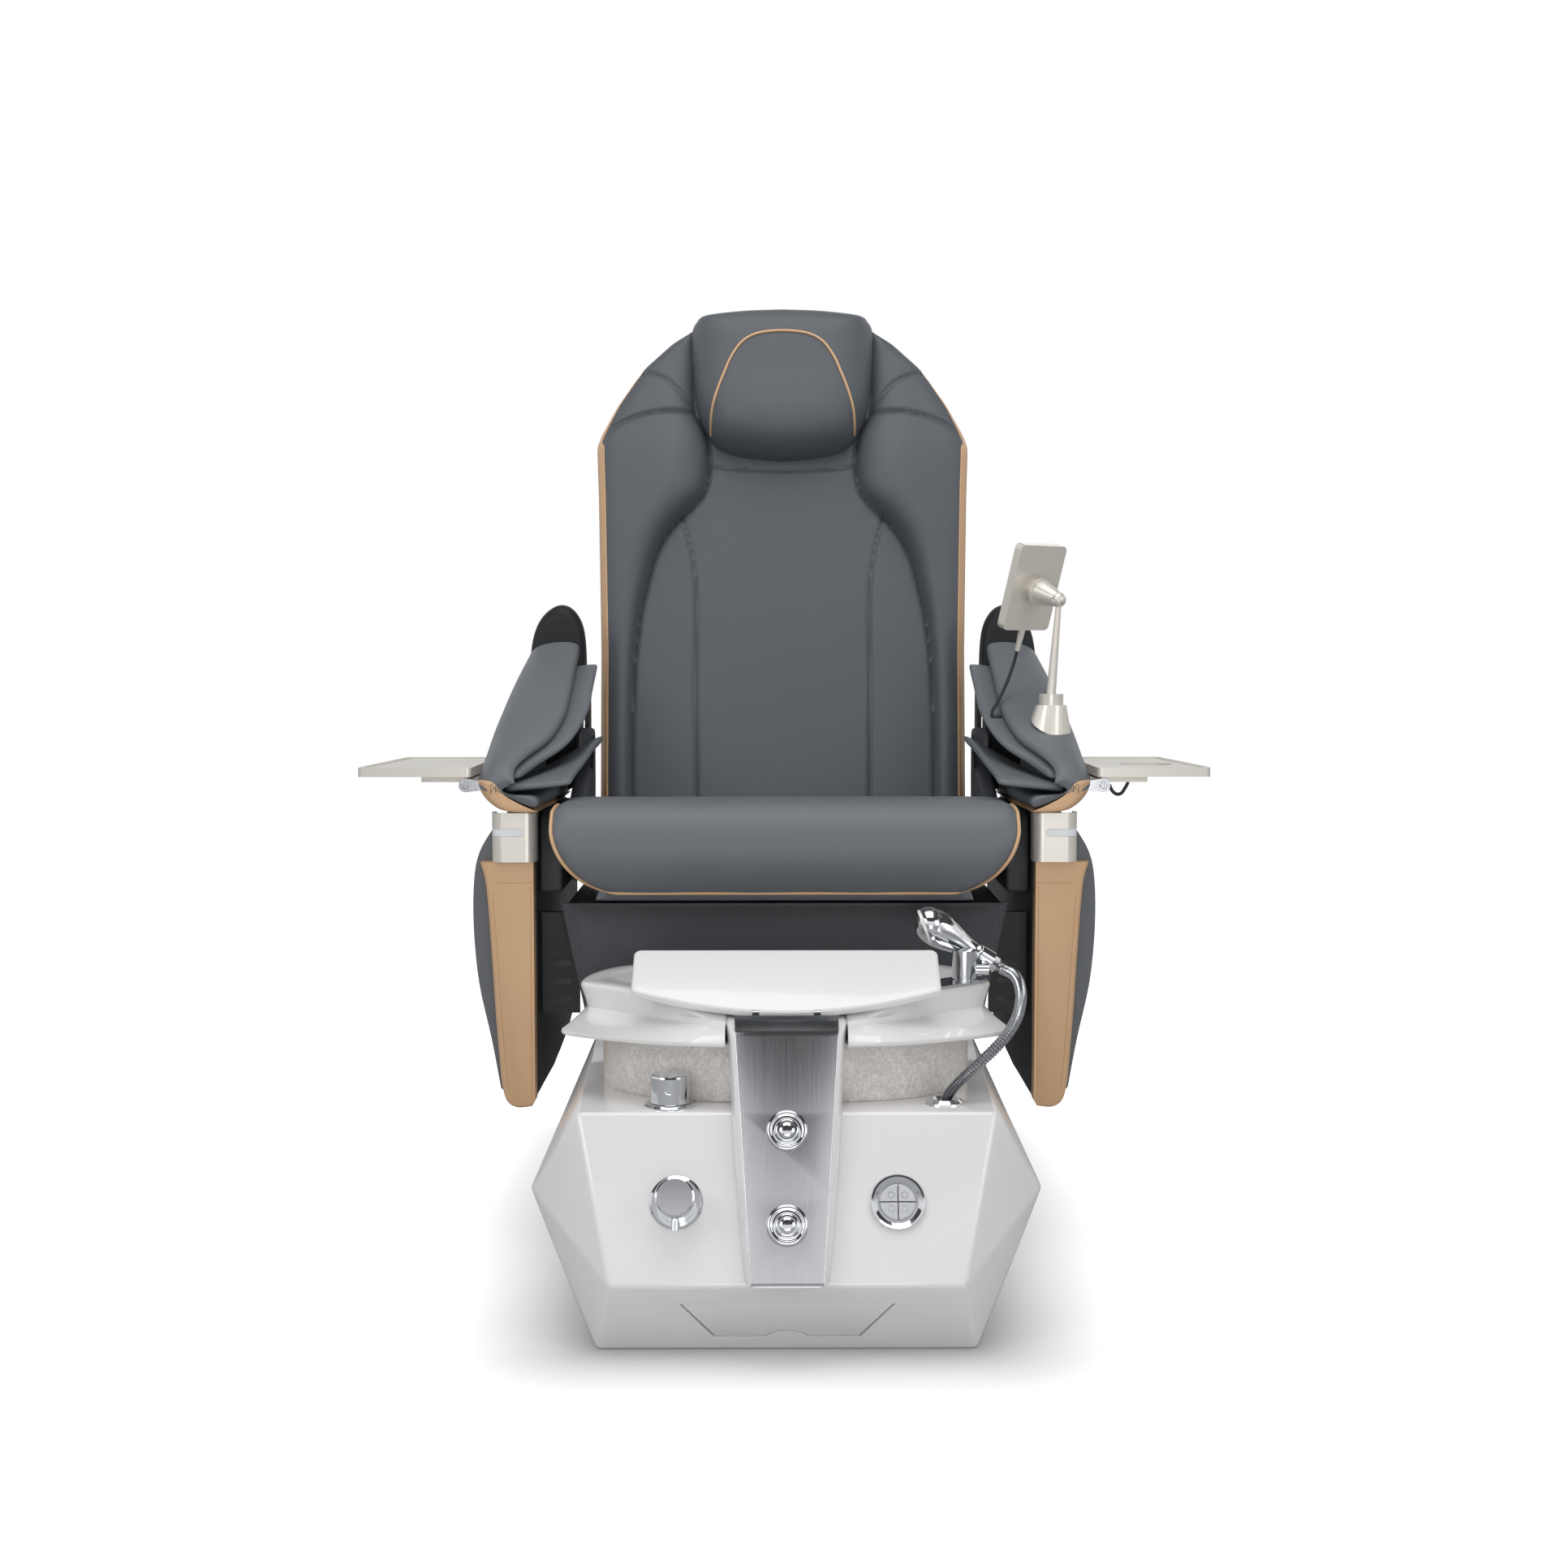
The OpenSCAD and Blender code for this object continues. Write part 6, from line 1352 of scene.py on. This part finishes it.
columns, levels = 180, 270
back_middle = 440
flat = []
for j in range(levels + 1):
    z = 2 + 876 * j / levels
    half = smooth_table(z, back_width, 5)
    flat += [(half * (2 * i / columns - 1), z) for i in range(columns + 1)]
points = [on_back(x, -back_depth(x, z), z) for x, z in flat]
faces = grid_faces(levels, columns)
outline = previous = grid_border(levels, columns)
for y, inset in ((6, 1.0), (20, 1.002), (60, 1.0), (95, 0.985), (104.5, 0.955)):
    start = len(points)
    for x, z in [flat[v] for v in outline]:
        points.append(on_back(x * inset, y, back_middle + (z - back_middle) * inset))
    faces += skirt(previous, start)
    previous = list(range(start, len(points)))
faces += [(previous[i], previous[i - 1], len(points)) for i in range(len(previous))]
points.append(on_back(0, 104.5, back_middle))
# The back's cover takes the darker slate, which is painted shade.
cover = show("back_cover", mesh_from("back_cover", points, faces), slate_painted_darker_as_shade, 55)
fit(cover, "grey_leather", "back", "back_cushion", "back_wings", fill=0.75)

# Bronze binding: a strip of bronze cloth sewn over the edge of the back.
binding = [(smooth_table(z, back_width, 5), z) for z in range(24, 787, 6)]
band_parts = []
for side in (-1, 1):
    rings = []
    for x, z in binding:
        wide = 11.5 if z < 645 else max(3.0, 7 - (z - 645) * 0.03)
        ring = [on_back(side * (x + 1.4), 7, z), on_back(side * (x + 1.9), 1 - back_depth(x, z), z)]
        for t, proud in ((0.04, 1.6), (0.25, 1.9), (0.6, 1.8), (0.9, 1.5), (1.0, 0.4), (0.97, -1.5)):
            ring.append(on_back(side * (x - wide * t), -back_depth(x - wide * t, z) - proud, z))
        rings.append(ring if side < 0 else ring[::-1])
    band_parts.append(rounded(loft("binding", rings), 1))
binding_piece = show("back_binding", joined("back_binding", band_parts), bronze, 60)
fit(binding_piece, "bronze_leather", "back")


def sew_on_back(line, aside):
    """A row of stitches beside a seam, just above the cover, on both halves."""
    line = [Vector(p) for p in line]
    moved = []
    for k, p in enumerate(line):
        d = (line[min(k + 1, len(line) - 1)] - line[max(k - 1, 0)]).normalized()
        moved.append(p + Vector((-d.y, d.x)) * aside)
    kept = [p for p in moved if p.x < smooth_table(p.y, back_width, 5) - 9]
    return [[on_back(side * p.x, -back_depth(p.x, p.y) - 0.4, p.y) for p in kept] for side in (-1, 1)]


rows = []
for seam, steps, aside in ((wing_line[1:], 2, 6), (channel_line[1:], 2, -5), (neck_line, 6, -5),
                           (shoulder_low, 2, 5.5), (shoulder_high, 2, 5)):
    rows += sew_on_back(finer(seam, steps), aside)
edge_rows = [[on_back(side * (x - 8.6), -back_depth(x - 8.6, z) - 2.0, z) for x, z in binding if z < 640]
             for side in (-1, 1)]
stitches("back_stitching", rows, "back", "grey_leather", slate_thread, 4.4, 3.0, 0.42)
stitches("binding_stitching", edge_rows, "back", "bronze_leather", bronze_thread, 4.6, 3.2, 0.5)

# Head pillow: a soft foam block on a strap, fuller at its foot, covered in the slate cloth painted darker as
# shade.
pillow_edge = [(0, 620), (60, 626), (106, 642), (130, 678), (141, 714), (148, 784), (150, 839), (144, 857),
               (130, 867), (70, 874), (0, 876.5)]
pillow_right = [Vector(p) for p in finer(pillow_edge, 8)]
pillow_loop = pillow_right + [Vector((-p.x, p.y)) for p in pillow_right[-2:0:-1]]
pillow_middle = Vector((0, 756))


def pillow_reach(x, z):
    """How far out from the pillow's middle a point is: 0 at the middle, 1 on the outline."""
    d = Vector((abs(x), z)) - pillow_middle
    if d.length < 1e-6:
        return 0.0
    best = None
    for a, b in zip(pillow_right, pillow_right[1:]):
        e = b - a
        den = d.x * e.y - d.y * e.x
        if abs(den) < 1e-9:
            continue
        q = a - pillow_middle
        t = (q.x * e.y - q.y * e.x) / den
        u = (q.x * d.y - q.y * d.x) / den
        if t > 0 and -0.001 <= u <= 1.001:
            best = 1 / t if best is None else max(best, 1 / t)
    return best if best is not None else 1.0


def pillow_depth(x, z, k=None):
    """How far the pillow stands proud of the backrest's face plane."""
    k = pillow_reach(x, z) if k is None else k
    full = 74 + 8 * max(0, (756 - z) / 136)
    return full * max(1 - k ** 5.5, 0) ** 0.5 + 10 + 3 * math.cos(min(abs(x) / 95, 1.5))


pillow_back = [pillow_middle + (p - pillow_middle) * 0.97 for p in pillow_loop]
pillow_side = [(p.x * 0.995, pillow_middle.y + (p.y - pillow_middle.y) * 0.995) for p in pillow_loop]
rings = [[on_back(q.x, -4.0, q.y) for q in pillow_back], [on_back(x, -9, z) for x, z in pillow_side]]
for k in [1 - (1 - i / 27) ** 1.7 for i in range(28)][::-1]:
    ring = []
    for p in pillow_loop:
        q = pillow_middle + (p - pillow_middle) * max(k, 0.004)
        ring.append(on_back(q.x, -pillow_depth(q.x, q.y, k) + (4 if k == 1 else 0), q.y))
    rings.append(ring)
pillow = show("head_pillow_cover", loft("head_pillow_cover", rings), slate_painted_darker_as_shade, 60)
fit(pillow, "grey_leather", "back", "head_pillow", fill=0.8)

# Bronze piping: a cord wrapped in bronze cloth that runs in an arch over the pillow's face.
arch = [(117, 657), (116.5, 671), (114, 690), (106, 716), (95, 745), (84, 771), (68, 795), (50, 808),
        (30, 814)]
arch = [(-x, z) for x, z in arch] + [(0, 816.5)] + arch[::-1]
arch_line = [on_back(x, -pillow_depth(x, z) - 0.8, z) for x, z in finer(arch, 5)]
arch_piece = show("pillow_piping", loft("pillow_piping", cross_rings(arch_line, 2.3, 12)), bronze, 60)
fit(arch_piece, "bronze_leather", "back")
paint("back_shell", black_moulding)
